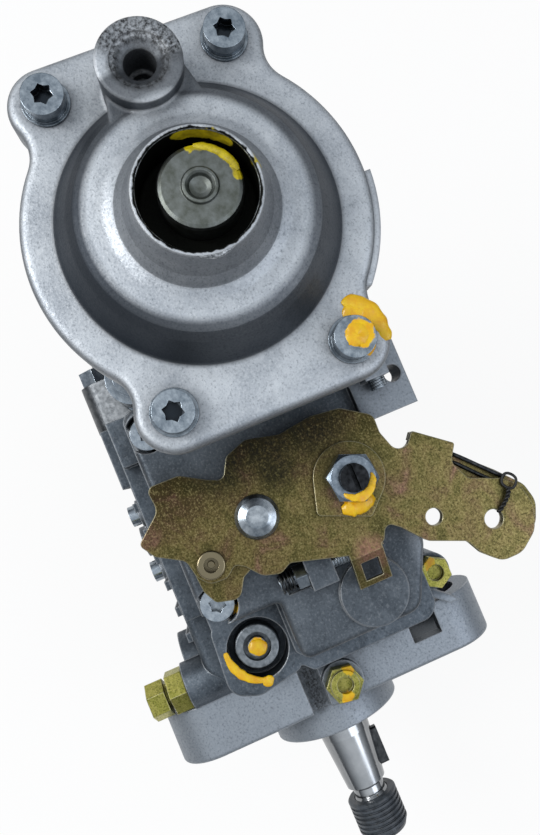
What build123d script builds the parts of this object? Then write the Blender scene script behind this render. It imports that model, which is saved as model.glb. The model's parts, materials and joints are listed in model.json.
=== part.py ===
from build123d import *
import math
import os

os.makedirs("parts", exist_ok=True)

# Rotary distributor diesel injection pump with a boost compensator, in millimetres.
# Frame: +X along the drive shaft towards its nose, +Z up to the boost cover,
# origin on the shaft axis at the face of the mounting flange.

# ---------------------------------------------------------------- named sizes
RUN = 0.03              # radial running clearance of every shaft and pin
SLIP = 0.05             # radial room round pieces that are pushed into a bore

PILOT_R = 25.0          # spigot that centres the pump on the engine
PILOT_L = 11.0
FLANGE_T = 8.0          # plate of the flange
FLANGE_W = 20.0         # rim of the flange, measured along the shaft
FLANGE_TOP = 30.6
FLANGE_HOLE_R = 4.3
BODY_BACK = -124.0      # face that carries the distributor head
BODY_HALF = 42.0
SIDE_Y = -38.5          # left flank of the casting
JOINT_Z = 62.0          # parting line between housing and governor cover
GASKET_T = 0.8
COVER_TOP = 84.0

SHAFT_R = 10.0
CONE_X0, CONE_X1 = 20.0, 41.0
CONE_R0, CONE_R1 = 10.0, 8.0
THREAD_R = 7.0
THREAD_END = 60.0
CAP_R = 10.0

MODULE = 1.5
DRIVE_TEETH, CAGE_TEETH = 41, 31
GEAR_X0, GEAR_X1 = -64.0, -56.0
GOV_Y = 9.0
GOV_Z = math.sqrt((MODULE * (DRIVE_TEETH + CAGE_TEETH) / 2) ** 2 - GOV_Y ** 2)
GOV_R = 4.0

VANE_X0, VANE_X1 = -52.0, -34.0
VANE_RING_R = 31.95
RING_X0, RING_X1 = -86.0, -70.0
RING_R = 33.5
ROLLER_R, ROLLER_X, ROLLER_C = 4.5, -86.4, 24.0
CREST_X, CAM_X, CAM_BACK = -90.95, -93.5, -98.0
PLUNGER_R = 5.0
COLLAR_X0, COLLAR_X1, COLLAR_R = -116.0, -106.0, 13.0
BALL_X, BALL_Z, BALL_R = -111.0, 11.0, 2.5
PIVOT_X, PIVOT_Z, PIVOT_R = -106.0, 34.0, 2.0

TIMING_X, TIMING_Z, TIMING_R = -78.0, -46.0, 12.0

HEAD_R = 38.0
HEAD_X0, HEAD_X1 = -168.0, -124.0
OUTLET_PITCH_R = 26.0
OUTLET_R = 6.0
OUTLET_END = -200.0

BOOST_X, BOOST_Y = -153.4, 11.8
BOOST_DX, BOOST_DY = 41.0, 23.5     # half spacings of its four screws
BOOST_R = 44.0
EAR_R, NECK_R = 10.0, 9.0           # screw ears of the cover and the necks beside them
BOOST_LOW, BOOST_TOP = 118.3, 127.8
TOWER_TOP = 150.3
TOWER_R, TOWER_BORE_R = 14.6, 13.7
PORT_X, PORT_R, PORT_TOP, PORT_BORE_R = -188.8, 10.2, 143.0, 3.9
PIN_R = 6.0

LEVER_X, LEVER_Y = -79.2, 26.2
LEVER_Z0, LEVER_Z1 = 92.9, 95.5
LEVER_SHAFT_R = 5.0
END_HOLE = (-51.9, 60.5)
MID_HOLE = (-59.3, 44.6)
END_HOLE_R, MID_HOLE_R = 2.8, 2.5
RIVET = (-79.2, -2.2)
EYELET = (-71.8, -19.2)

COVER_SCREWS = [(-58.6, -22.8), (-114.0, -22.8), (-114.0, 38.4), (-66.0, 38.4)]
HEAD_BOLTS = [(36.0, 25.0), (-36.0, 25.0), (31.0, -32.0), (-31.0, -32.0)]
SOL_X, SOL_Y = -133.0, -21.0        # shut-off solenoid on top of the head
FIT_X, FIT_Z = -27.6, 27.0          # return fitting on the left flank
PLUG_X, PLUG_Y = -8.0, 5.2          # front plug
SIDE_PLUG_X, SIDE_PLUG_Y = -33.6, 48.6
IDLE_X, IDLE_Z, IDLE_R = -57.9, 87.0, 2.3
INLET_X, INLET_Y, INLET_TOP = -37.7, -17.4, 62.0


# -------------------------------------------------------------------- helpers
def cx(r, x0, x1, y=0.0, z=0.0):
    """Cylinder along X."""
    return Pos((x0 + x1) / 2, y, z) * Rot(0, 90, 0) * Cylinder(r, abs(x1 - x0))


def cy(r, y0, y1, x=0.0, z=0.0):
    """Cylinder along Y."""
    return Pos(x, (y0 + y1) / 2, z) * Rot(90, 0, 0) * Cylinder(r, abs(y1 - y0))


def cz(r, z0, z1, x=0.0, y=0.0):
    """Cylinder along Z."""
    return Pos(x, y, (z0 + z1) / 2) * Cylinder(r, abs(z1 - z0))


def bx(x0, x1, y0, y1, z0, z1):
    """Box between two corners."""
    return Pos((x0 + x1) / 2, (y0 + y1) / 2, (z0 + z1) / 2) * Box(
        abs(x1 - x0), abs(y1 - y0), abs(z1 - z0)
    )


def hexz(flats, z0, z1, x=0.0, y=0.0, turn=0.0):
    """Hexagonal prism standing along Z, size across flats."""
    face = RegularPolygon(flats / 2, 6, major_radius=False)
    return Pos(x, y, z0) * Rot(0, 0, turn) * extrude(face, amount=z1 - z0)


def along_x(part, x=0.0, y=0.0, z=0.0):
    """Lays a part drawn along Z down so that its +Z points to +X."""
    return Pos(x, y, z) * Rot(0, 90, 0) * part


def along_y(part, x=0.0, y=0.0, z=0.0):
    """Lays a part drawn along Z down so that its +Z points to +Y."""
    return Pos(x, y, z) * Rot(-90, 0, 0) * part


def lathe(points):
    """Solid of revolution about Z from (radius, height) points."""
    pts = [(r, 0, h) for r, h in points]
    return revolve(make_face(Polyline(*pts, close=True)), Axis.Z)


def flat(points, z0, z1):
    """Prism with a polygonal outline in XY."""
    face = make_face(Polyline(*[(x, y, 0) for x, y in points], close=True))
    return Pos(0, 0, z0) * extrude(face, amount=z1 - z0, dir=(0, 0, 1))


def slab_y(points, y0, y1):
    """Prism along Y with a polygonal outline in (x, z)."""
    face = make_face(Polyline(*[(x, y0, z) for x, z in points], close=True))
    return extrude(face, amount=y1 - y0, dir=(0, 1, 0))


def slab_x(points, x0, x1):
    """Prism along X with a polygonal outline in (y, z)."""
    face = make_face(Polyline(*[(x0, y, z) for y, z in points], close=True))
    return extrude(face, amount=x1 - x0, dir=(1, 0, 0))


def rounded(points):
    """Closed outline with every corner (x, y, radius) rounded by an arc."""
    n = len(points)
    edges = []
    starts, ends, mids = [], [], []
    for i in range(n):
        px, py = points[i - 1][0], points[i - 1][1]
        qx, qy, r = points[i]
        sx, sy = points[(i + 1) % n][0], points[(i + 1) % n][1]
        ax, ay = px - qx, py - qy
        bx_, by_ = sx - qx, sy - qy
        la, lb = math.hypot(ax, ay), math.hypot(bx_, by_)
        ax, ay, bx_, by_ = ax / la, ay / la, bx_ / lb, by_ / lb
        half = math.acos(max(-1, min(1, ax * bx_ + ay * by_))) / 2
        t = min(r / math.tan(half), 0.46 * la, 0.46 * lb)
        rr = t * math.tan(half)
        mx, my = ax + bx_, ay + by_
        lm = math.hypot(mx, my) or 1.0
        d = rr / math.sin(half) - rr
        starts.append((qx + ax * t, qy + ay * t))
        ends.append((qx + bx_ * t, qy + by_ * t))
        mids.append((qx + mx / lm * d, qy + my / lm * d))
    for i in range(n):
        edges.append(ThreePointArc(starts[i], mids[i], ends[i]))
        edges.append(Line(ends[i], starts[(i + 1) % n]))
    return make_face(edges)


def tangent_hull(circles):
    """Face round a set of circles (x, y, r), as a belt round pulleys."""
    parts = [Pos(x, y) * Circle(r) for x, y, r in circles]
    edges = []
    for p in parts:
        edges.extend(p.edges())
    return make_hull(edges)


def gear(teeth, x0, x1, y, z, phase):
    """Spur gear along X. phase is the angle in YZ of one tooth's centre."""
    pitch = MODULE * teeth / 2
    root, tip = pitch - 1.75, pitch + 1.0
    points = []
    for i in range(teeth):
        a = phase + 2 * math.pi * i / teeth
        for r, w in ((root, -1.25), (tip, -0.45), (tip, 0.45), (root, 1.25)):
            b = a + w / r
            points.append((y + r * math.cos(b), z + r * math.sin(b)))
    return slab_x(points, x0, x1)


def coil(r, wire, height, turns):
    """Helical spring along Z from 0, with wire ends at its two rims."""
    path = Helix(pitch=height / turns, height=height, radius=r)
    start = path @ 0
    section = Plane(origin=start, z_dir=path % 0) * Circle(wire)
    return sweep(section, path=path, transition=Transition.ROUND)


def torx(x, y, z):
    """Six-lobed socket cutter whose mouth is at z."""
    pts = []
    for i in range(12):
        r = 2.75 if i % 2 == 0 else 2.05
        a = math.pi * i / 6
        pts.append((x + r * math.cos(a), y + r * math.sin(a)))
    return flat(pts, z - 2.6, z + 0.1)


def save(name, shape):
    """Writes one piece."""
    if isinstance(shape, (list, tuple)):
        shape = Compound(children=list(shape))
    export_step(shape, "parts/" + name + ".step")


def round_edges(part, edges, radius):
    """Fillets the chosen edges of a part."""
    return fillet(edges, radius)


def turned(part, degrees, y=0.0, z=0.0):
    """Turns a part about an axis parallel to X through (y, z)."""
    return Pos(0, y, z) * Rot(degrees, 0, 0) * Pos(0, -y, -z) * part


# ------------------------------------------------------------- pump housing
flange_face = tangent_hull([(-44, 14.6, 16), (50, 14.6, 16), (0, -38, 18)])
inner_face = tangent_hull([(-44, 14.6, 10), (50, 14.6, 10), (0, -38, 12)])
# The two faces are drawn in (y, z) and stood up to face +X.
stand = Plane(origin=(0, 0, 0), x_dir=(0, 1, 0), z_dir=(1, 0, 0))
flange = Pos(-FLANGE_W, 0, 0) * extrude(stand * flange_face, amount=FLANGE_W)
pocket = Pos(-FLANGE_W - 1, 0, 0) * extrude(
    stand * inner_face, amount=FLANGE_W - FLANGE_T + 1
)
flange = fillet(flange.edges().group_by(Axis.X)[-1], 1.5)
flange -= pocket

upper_plan = rounded([
    (-124, -30, 4), (-54, -30, 4), (-54, -29, 1), (-30, -29, 6), (-27, -6, 2),
    (-24, -3, 2), (-24, 42, 6), (-124, 42, 4),
])
upper = Pos(0, 0, 30) * extrude(upper_plan, amount=JOINT_Z - 30)
lower_plan = rounded([
    (-124, SIDE_Y, 3), (-30, SIDE_Y, 8), (-22, -32, 5), (-22, 36, 5), (-30, BODY_HALF, 8),
    (-124, BODY_HALF, 3),
])
lower = extrude(lower_plan, amount=36)
lower = fillet(lower.edges().group_by(Axis.Z)[-1], 3)

housing = cx(41, BODY_BACK, -20) + lower + upper
housing += cx(30, -24, -4)
housing += bx(BODY_BACK, -102, SIDE_Y - 2.5, BODY_HALF + 1, -41, 36)
housing += flange
housing += cx(PILOT_R, -2, PILOT_L)
# ribs down the left side of the casting
for x in (-96, -86, -76, -66, -56, -46):
    housing += slab_y([(x, -4), (x + 3.4, -4), (x + 3.4, 33), (x, 33)], SIDE_Y - 1.8, -34)
housing += bx(-122, -52, -37, -30, 34, 46)
housing += bx(-124, -108, -36, -28, 40, 55)
# timing-device barrel across the bottom
housing += cy(17, -BODY_HALF, BODY_HALF, TIMING_X, TIMING_Z)
housing += bx(TIMING_X - 15, TIMING_X + 15, -BODY_HALF, BODY_HALF, TIMING_Z, -20)
# fuel inlet well
inlet_boss = rounded([
    (-51, -29.5, 5), (-27, -31, 8), (-23.5, -22, 6), (-26.5, -5.5, 4), (-51, -5.5, 4),
])
housing += Pos(0, 0, 30) * extrude(inlet_boss, amount=INLET_TOP - 30)
# boss of the return fitting, front plug seat
housing += cy(8.6, -47, -30, FIT_X, FIT_Z)
housing += cy(12.5, -45, -30, -32, 15)
housing += cz(7.7, 22, 33.5, PLUG_X, PLUG_Y)
housing += bx(-24, -16.2, -1.4, 32, 24, 34.5)
housing += bx(-24, -19.4, -1.4, 32, 30, 38)
# stepped shoulder between the cover and the flange
housing += bx(-32, -22.5, 0, 34, 30, 42)
# block for the side plug and the two beams that brace the right ear
housing += bx(-41, -27.5, 38, 49.5, 8, 40)
housing += cz(6.5, 12, 43, SIDE_PLUG_X, SIDE_PLUG_Y)
housing += flat([(-32, 40), (-28.4, 40), (-17.8, 52.6), (-17.8, 56), (-20.6, 53.6)], 28, 33)

housing -= cz(10.0, INLET_TOP - 9, INLET_TOP + 1, INLET_X, INLET_Y)
housing -= cz(6.0, INLET_TOP - 22, INLET_TOP - 8, INLET_X, INLET_Y)
housing -= cz(5.0, 26, 40, PLUG_X, PLUG_Y)
housing -= cz(4.0, 32, 44, SIDE_PLUG_X, SIDE_PLUG_Y)
housing -= cy(5.0, -51, -34, FIT_X, FIT_Z)
# slot in the top rim of the flange and the pocket by the right ear
housing -= bx(-26, 1, -9.0, -1.8, 25.2, 46)
housing -= bx(-18, -9, 35, 46, 12, 40)
housing -= cx(13 + SLIP, -30 - 26, 2)
housing -= cx(16, 1.5, PILOT_L + 1)
housing -= cx(VANE_RING_R + SLIP, VANE_X0 - 2.7, VANE_X1)
housing -= cx(33, GEAR_X0 - 3, VANE_X0 - 2.6)
housing -= cx(RING_R + 0.04, -88, GEAR_X0 - 2.9)
housing -= cx(36, BODY_BACK - 1, -87.9)
# governor chamber
chamber = rounded([
    (-118, -18.5, 3), (-55.4, -18.5, 2), (-55.4, -1.5, 1), (-40, -1.5, 3),
    (-40, 34.5, 4), (-118, 34.5, 4),
])
housing -= Pos(0, 0, 37) * extrude(chamber, amount=40)
housing -= bx(-118, -67, -18.5, 34.5, 10, 50)
housing -= bx(-67.1, -54.7, -18.5, 34.5, 18, 50)
housing -= cx(GOV_R + 0.02, -41, -30, GOV_Y, GOV_Z)
housing -= cy(PIVOT_R + RUN, -24, 40, PIVOT_X, PIVOT_Z)
housing -= cy(TIMING_R + 0.02, -50, 50, TIMING_X, TIMING_Z)
housing -= bx(TIMING_X - 6, TIMING_X + 6, -12, 6, TIMING_Z, -28)
for y, z in HEAD_BOLTS:
    housing -= cx(3.0, BODY_BACK - 1, -108, y, z)
for x, y in COVER_SCREWS:
    housing -= cz(3.0, JOINT_Z - 14, JOINT_Z + 1, x, y)
for y, z in ((-46, 14.6), (52, 14.6), (0, -42)):
    housing -= cx(FLANGE_HOLE_R, -FLANGE_T - 1, 1, y, z)
for s in (-1, 1):
    for dx in (-13, 13):
        housing -= cy(2.5, s * 30, s * 50, TIMING_X + dx, TIMING_Z + 13.0)
save("pump_housing", housing)

# ------------------------------------------------- drive end, pump and gear
save("shaft_bushing", cx(13, -28, 1.4) - cx(SHAFT_R + RUN, -29, 3))
SEAL_X = PILOT_L - 8.6
seal = cx(16 - 0.02, SEAL_X, SEAL_X + 7) - cx(13.5, SEAL_X + 1.5, SEAL_X + 7.1)
seal += cx(12, SEAL_X + 1, SEAL_X + 5)
seal -= cx(SHAFT_R + RUN, SEAL_X - 1, SEAL_X + 8)
save("shaft_seal", seal)
save(
    "eccentric_ring",
    cx(VANE_RING_R, VANE_X0, VANE_X1) - cx(23.5, VANE_X0 - 1, VANE_X1 + 1, 0, 1.5),
)
save(
    "pump_support_plate",
    cx(VANE_RING_R, VANE_X0 - 2.5, VANE_X0 - 0.02) - cx(SHAFT_R + 0.1, -60, -50),
)
rotor = cx(21.4, VANE_X0 + 0.05, VANE_X1 - 0.05) - cx(SHAFT_R, -60, -30)
vanes = []
for k in range(4):
    slot = turned(bx(-60, -30, -1.05, 1.05, 13, 23), 90 * k)
    rotor -= slot
    vane = bx(VANE_X0 + 0.06, VANE_X1 - 0.06, -1.0, 1.0, 13.1, 21.9)
    vanes.append(turned(vane, 90 * k))
save("vane_rotor", rotor)
save("vanes", vanes)

shaft = cx(SHAFT_R, -70, CONE_X0)
shaft += along_x(lathe([
    (0, CONE_X0), (CONE_R0, CONE_X0), (CONE_R1, CONE_X1), (6.3, CONE_X1 + 1.2),
    (6.3, 45.5), (THREAD_R, 46.5), (THREAD_R, THREAD_END - 1.2),
    (THREAD_R - 1.2, THREAD_END), (0, THREAD_END),
]))
shaft += cx(14, -72, -66)
for s in (-1, 1):
    shaft += bx(-84, -71, -4, 4, s * 8, s * 13)
shaft -= bx(23, 38, -2, 2, -20, -CONE_R1 + 2.2).rotate(Axis.X, 90)
save("drive_shaft", shaft)
key = bx(23.1, 37.9, -1.95, 1.95, -11.6, -CONE_R1 + 2.18).rotate(Axis.X, 90)
save("woodruff_key", fillet(key.edges().filter_by(Axis.Y), 1.0))
cap_profile = [(7.05, 46.3), (CAP_R - 0.6, 46.3)]
x = 46.9
while x < 59.5:
    cap_profile += [(CAP_R, x), (CAP_R, x + 0.9), (CAP_R - 0.6, x + 1.4)]
    x += 1.9
    cap_profile += [(CAP_R - 0.6, x)]
cap_profile += [(CAP_R - 1.4, 61.7), (0, 61.7), (0, 60.1), (7.05, 60.1)]
save("thread_protector", along_x(lathe(cap_profile)))

mesh = math.atan2(GOV_Z, GOV_Y)
drive_gear = gear(DRIVE_TEETH, GEAR_X0, GEAR_X1, 0, 0, mesh)
drive_gear -= cx(SHAFT_R, -70, -50)
for k in range(4):
    drive_gear -= turned(cx(5, -70, -50, 19, 0), 45 + 90 * k)
save("drive_gear", drive_gear)
cross = cx(13.4, -83, -77)
for s in (-1, 1):
    cross -= bx(-90, -70, -4.06, 4.06, s * 7.9, s * 15)
    cross -= bx(-90, -70, s * 7.9, s * 15, -4.06, 4.06)
save("coupling_cross", cross)

# ------------------------------------------------------- roller ring and cam
ring = cx(RING_R, RING_X0, RING_X1) - cx(17, -90, -60)
rollers = []
for k in range(4):
    pit = bx(-88, ROLLER_X + ROLLER_R + 0.6, -5.2, 5.2, 19.3, 28.7)
    ring -= turned(pit, 90 * k)
    roller = cz(ROLLER_R, 20, 28, ROLLER_X, 0) - cz(2.1, 19, 29, ROLLER_X, 0)
    rollers.append(turned(roller, 90 * k))
    axle_room = cz(2.0, 17.1, 31, ROLLER_X + 0.0, 0)
    ring -= turned(axle_room, 90 * k)
    rollers.append(turned(cz(1.98, 17.2, 30.9, ROLLER_X, 0), 90 * k))
pin_hole = cz(3.5, -34, -21, TIMING_X, 0)
ring -= pin_hole
save("rollers", rollers)
timing_pin = cz(3.48, -32.9, -21.1, TIMING_X, 0) + cz(1.8, -46, -32, TIMING_X, 0)
timing_pin += Pos(TIMING_X, 0, TIMING_Z) * Sphere(4.0)
save("roller_ring", [ring, timing_pin])

cam = cx(30, CAM_BACK, CAM_X)
for k in range(4):
    lobe = [(-10, CAM_X - 0.5), (-10, CAM_X), (-2.5, CREST_X), (2.5, CREST_X),
            (10, CAM_X), (10, CAM_X - 0.5)]
    pts = [(xx, t) for t, xx in lobe]
    hump = flat(pts, 19, 29)
    cam += turned(hump, 90 * k)
cam &= cx(30, -120, -60)
for s in (-1, 1):
    cam += bx(CAM_X - 1, -76, s * 8, s * 13, -4, 4)
cam -= cx(3, -99, -92)
save("cam_plate", cam)
plunger = cx(9, -100.5, CAM_BACK) + cx(PLUNGER_R, -176, -100) + cx(2.95, -99, -94)
plunger -= cx(1.2, -177, -108)
plunger -= cz(1.2, -6, 6, -108.6, 0)
plunger -= bx(-140, -132, -1, 1, 3.8, 6)
save("distributor_plunger", plunger)
bridge = bx(-102.6, -100.7, -24, 24, -6, 6) - cx(PLUNGER_R + 0.2, -104, -99)
springs = [bridge]
for s in (-1, 1):
    spring = along_x(coil(4.6, 0.9, 17.4, 5), -121.0, s * 18.5, 0)
    springs.append(spring)
save("plunger_springs", springs)

# -------------------------------------------------------- distributor head
head_outline = tangent_hull([(y, z, 6.5) for y, z in HEAD_BOLTS] + [(0, 0, HEAD_R)])
head = Pos(-142, 0, 0) * extrude(stand * head_outline, amount=18)
head += cx(HEAD_R, HEAD_X0, HEAD_X1)
head += cx(36 - SLIP, HEAD_X1 - 1, -122)
head += cz(8.8, 20, 44, SOL_X, SOL_Y)
head -= cx(11, -172, -110)
head -= cz(6.5, 24, 45, SOL_X, SOL_Y)
for k in range(4):
    a = math.radians(45 + 90 * k)
    y, z = OUTLET_PITCH_R * math.cos(a), OUTLET_PITCH_R * math.sin(a)
    head -= cx(7.5, -172, -152, y, z)
    head -= cx(1.2, -153, -132, y, z)
for y, z in HEAD_BOLTS:
    head -= cx(3.3, -143, -123, y, z)
save("distributor_head", head)
save("plunger_barrel", cx(11 - 0.02, -166, -121.5) - cx(PLUNGER_R + RUN, -170, -120))
bolts = []
for y, z in HEAD_BOLTS:
    bolt = cx(2.95, -142, -109, y, z)
    bolt += along_x(hexz(10, 0, 5.5), -147.5, y, z)
    bolts.append(bolt)
save("head_bolts", bolts)
plug = cx(10.95, -176, -167) + along_x(hexz(24, 0, 6), -182, 0, 0)
plug -= cx(PLUNGER_R + 0.3, -177, -166)
save("central_plug", plug)
holders, valves = [], []
for k in range(4):
    a = math.radians(45 + 90 * k)
    y, z = OUTLET_PITCH_R * math.cos(a), OUTLET_PITCH_R * math.sin(a)
    h = cx(7.45, -168, -154, y, z) + along_x(hexz(17, 0, 12), -180, y, z)
    h += cx(OUTLET_R, OUTLET_END, -179, y, z)
    h -= cx(3.6, -177, -150, y, z)
    h -= cx(1.0, -202, -176, y, z)
    h -= along_x(lathe([(0, -0.1), (4.0, -0.1), (1.0, 3.6), (0, 3.6)]), OUTLET_END, y, z)
    holders.append(h)
    v = cx(3.2, -160, -154.5, y, z) + cx(5.5, -153.9, -152.1, y, z)
    v += cx(2.0, -155, -153, y, z)
    valves.append(v)
save("delivery_valve_holders", holders)
save("delivery_valves", valves)

# shut-off solenoid on top of the head
solenoid = cz(6.45, 30, 45, SOL_X, SOL_Y) + hexz(17, 44, 50, SOL_X, SOL_Y, 30)
solenoid += cz(8.6, 50, 70, SOL_X, SOL_Y) + cz(6.0, 70, 73, SOL_X, SOL_Y)
solenoid += cz(2.0, 73, 80, SOL_X, SOL_Y)
solenoid -= cz(4.0 + RUN, 29, 50, SOL_X, SOL_Y)
save("shutoff_solenoid", solenoid)
save("solenoid_plunger", cz(4.0, 28.5, 44, SOL_X, SOL_Y))

# -------------------------------------------------------- governor cover
cover_plan = rounded([
    (-122, -28, 5), (-55, -28, 7), (-52.4, -22, 3), (-52.4, -5.2, 2),
    (-33.5, -5.2, 3), (-33.5, 33, 6), (-52, 42, 8), (-122, 42, 5),
])
z0 = JOINT_Z + GASKET_T
cover = Pos(0, 0, z0) * extrude(cover_plan, amount=COVER_TOP - z0)
cover = fillet(cover.edges().group_by(Axis.Z)[-1], 2.0)
lip_plan = rounded([
    (-123, -29, 5), (-54, -29.2, 7), (-50.8, -24, 3), (-50.8, -6.6, 2),
    (-31, -6.6, 3), (-31, 36, 6), (-52, 43, 8), (-123, 43, 5),
])
cover += Pos(0, 0, z0) * extrude(lip_plan, amount=4)
# rear part that carries the boost chamber, its neck and its cup
cover += bx(-176, -120, -11, 36, 66, 88)
cover += cz(23, 84, 101, BOOST_X, BOOST_Y)


def boost_outline(inset):
    """Round plate with four screw ears, joined by straight ends and hollow necks."""
    plate = Pos(BOOST_X, BOOST_Y) * Circle(BOOST_R - inset)
    for i in (-1, 1):
        plate += tangent_hull([
            (BOOST_X + i * BOOST_DX, BOOST_Y + j * BOOST_DY, EAR_R - inset) for j in (-1, 1)
        ])
    # a neck starts where an end piece crosses the round plate
    necks = [
        corner for corner in plate.vertices()
        if abs(math.hypot(corner.X - BOOST_X, corner.Y - BOOST_Y) - (BOOST_R - inset)) < 0.01
    ]
    return fillet(necks, NECK_R + inset)


cup_face = boost_outline(1.5)
cover += Pos(0, 0, 110) * extrude(cup_face, amount=BOOST_LOW - 0.6 - 110)
cover += Pos(0, 0, 98) * Solid.make_cone(34, 43, 12).moved(
    Location((BOOST_X, BOOST_Y, 0))
)
# stiffening webs between the neck and the cover
cover += bx(-132, -112, 8, 16, 82, 97)
# bracket lug on the right
cover += bx(-113, -91.5, 38, 55.6, 76, 88)
cover += bx(-113, -102.5, 41.5, 48.9, 86, 96.5)
# throttle shaft boss and idle screw boss
cover += cz(9, 82, 89.5, LEVER_X, LEVER_Y)
cover += bx(-63, -52.5, 5.0, 13.0, 82, IDLE_Z + 3.4)
# round core plug on the front top
cover += cz(10.4, 82, 85.2, -44.3, 21.8)

cover -= Pos(0, 0, z0 - 1) * extrude(chamber, amount=17.6 + 1)
cover -= bx(-166, -117, -6, 31, 70, 80)
cover -= cz(PIN_R + RUN, 78, 100, BOOST_X, BOOST_Y)
cover -= lathe([
    (0, 100), (30, 100), (38, 111), (38, 119), (0, 119),
]).moved(Location((BOOST_X, BOOST_Y, 0)))
cover -= cz(LEVER_SHAFT_R + RUN, 70, 95, LEVER_X, LEVER_Y)
cover -= cy(IDLE_R + 0.05, 0, 14, IDLE_X, IDLE_Z)
cover -= bx(IDLE_X - 4.6, IDLE_X + 4.6, -2.0, 5.0, IDLE_Z - 3.9, COVER_TOP + 1)
cover -= cx(2.55, -114, -102, 45.5, 91.8)
cover -= cz(2.6, 70, 90, -102.2, 51.7)
for x, y in COVER_SCREWS:
    cover -= cz(3.3, z0 - 1, COVER_TOP + 1, x, y)
    cover -= cz(6.2, COVER_TOP - 9.5, COVER_TOP + 1, x, y)
for i in (-1, 1):
    for j in (-1, 1):
        cover -= cz(3.0, 104, 120, BOOST_X + i * BOOST_DX, BOOST_Y + j * BOOST_DY)
save("governor_cover", cover)
gasket = Pos(0, 0, JOINT_Z + 0.02) * extrude(lip_plan, amount=GASKET_T - 0.04)
gasket -= Pos(0, 0, JOINT_Z - 1) * extrude(chamber, amount=4)
for x, y in COVER_SCREWS:
    gasket -= cz(3.3, JOINT_Z - 1, JOINT_Z + 2, x, y)
save("governor_cover_gasket", gasket)
screws = []
for x, y in COVER_SCREWS:
    top = COVER_TOP - 9.5
    s = cz(2.95, JOINT_Z - 12, top, x, y) + cz(5.2, top, top + 5, x, y)
    s -= torx(x, y, top + 5)
    screws.append(s)
# timing-device covers are held by the same screws, two to a side
for s in (-1, 1):
    for dx in (-13, 13):
        y0 = s * (BODY_HALF + 4.5)
        one = cy(2.45, s * 32, y0, TIMING_X + dx, TIMING_Z + 13.0)
        one += cy(4.6, y0, y0 + s * 4, TIMING_X + dx, TIMING_Z + 13.0)
        screws.append(one)
save("cover_screws", screws)
side_covers = []
for s in (-1, 1):
    y0, y1 = s * BODY_HALF, s * (BODY_HALF + 4.5)
    plate = cy(16.5, y0, y1, TIMING_X, TIMING_Z)
    for dx in (-13, 13):
        plate += cy(6.2, y0, y1, TIMING_X + dx, TIMING_Z + 13.0)
        plate -= cy(2.8, y0 - s, y1 + s, TIMING_X + dx, TIMING_Z + 13.0)
    plate += cy(7.0, y1 - s * 0.5, y1 + s * 4, TIMING_X, TIMING_Z)
    side_covers.append(plate)
save("timing_covers", side_covers)

# ------------------------------------------------------- boost compensator
corners = [(BOOST_X + i * BOOST_DX, BOOST_Y + j * BOOST_DY) for i in (-1, 1) for j in (-1, 1)]
boost = Pos(0, 0, BOOST_LOW) * extrude(boost_outline(0), amount=BOOST_TOP - BOOST_LOW)
boost = fillet(boost.edges().group_by(Axis.Z)[-1], 2.4)
dome = lathe([
    (0, 125), (35.6, 125), (35.3, 128.2), (34.0, 130.2), (31.0, 135.6), (29.0, 138.0),
    (26.7, 139.1), (22.0, 139.4), (19.4, 140.4), (17.3, 142.8), (15.9, 146.0),
    (TOWER_R + 0.4, 149.2), (TOWER_R, TOWER_TOP), (0, TOWER_TOP),
]).moved(Location((BOOST_X, BOOST_Y, 0)))
boost += dome
boost += cz(PORT_R, 126, PORT_TOP, PORT_X, BOOST_Y)
saddle = tangent_hull([(PORT_X + 1.5, BOOST_Y, 9.5), (-172, BOOST_Y, 13)])
saddle_wedge = slab_y(
    [(-200, 126), (-200, 137), (-186, 138.5), (-168, 138.5), (-160, 126)], -10, 34
)
boost += (Pos(0, 0, 126) * extrude(saddle, amount=14)) & saddle_wedge
boost -= lathe([
    (0, 117), (31, 117), (31, 126), (26, 133.5), (18, 134.8), (0, 134.8),
]).moved(Location((BOOST_X, BOOST_Y, 0)))
boost -= cz(TOWER_BORE_R, 138.4, TOWER_TOP + 1, BOOST_X, BOOST_Y)
boost -= cz(PORT_BORE_R, 131, PORT_TOP + 1, PORT_X, BOOST_Y)
boost -= lathe([
    (0, PORT_TOP - 2.4), (PORT_BORE_R, PORT_TOP - 2.4), (PORT_BORE_R + 2.0, PORT_TOP - 0.5),
    (PORT_BORE_R + 3.0, PORT_TOP - 0.5), (PORT_BORE_R + 3.0, PORT_TOP + 0.2),
    (0, PORT_TOP + 0.2),
]).moved(Location((PORT_X, BOOST_Y, 0)))
boost -= cx(1.8, PORT_X, -180, BOOST_Y, 129.5)
boost -= cz(3.0, 128, 132, PORT_X, BOOST_Y)
boost -= cx(1.8, -186, BOOST_X - 28, BOOST_Y, 124)
boost -= cz(1.8, 123.0, 131, -186, BOOST_Y)
for x, y in corners:
    boost -= cz(3.3, 116, 130, x, y)
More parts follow.
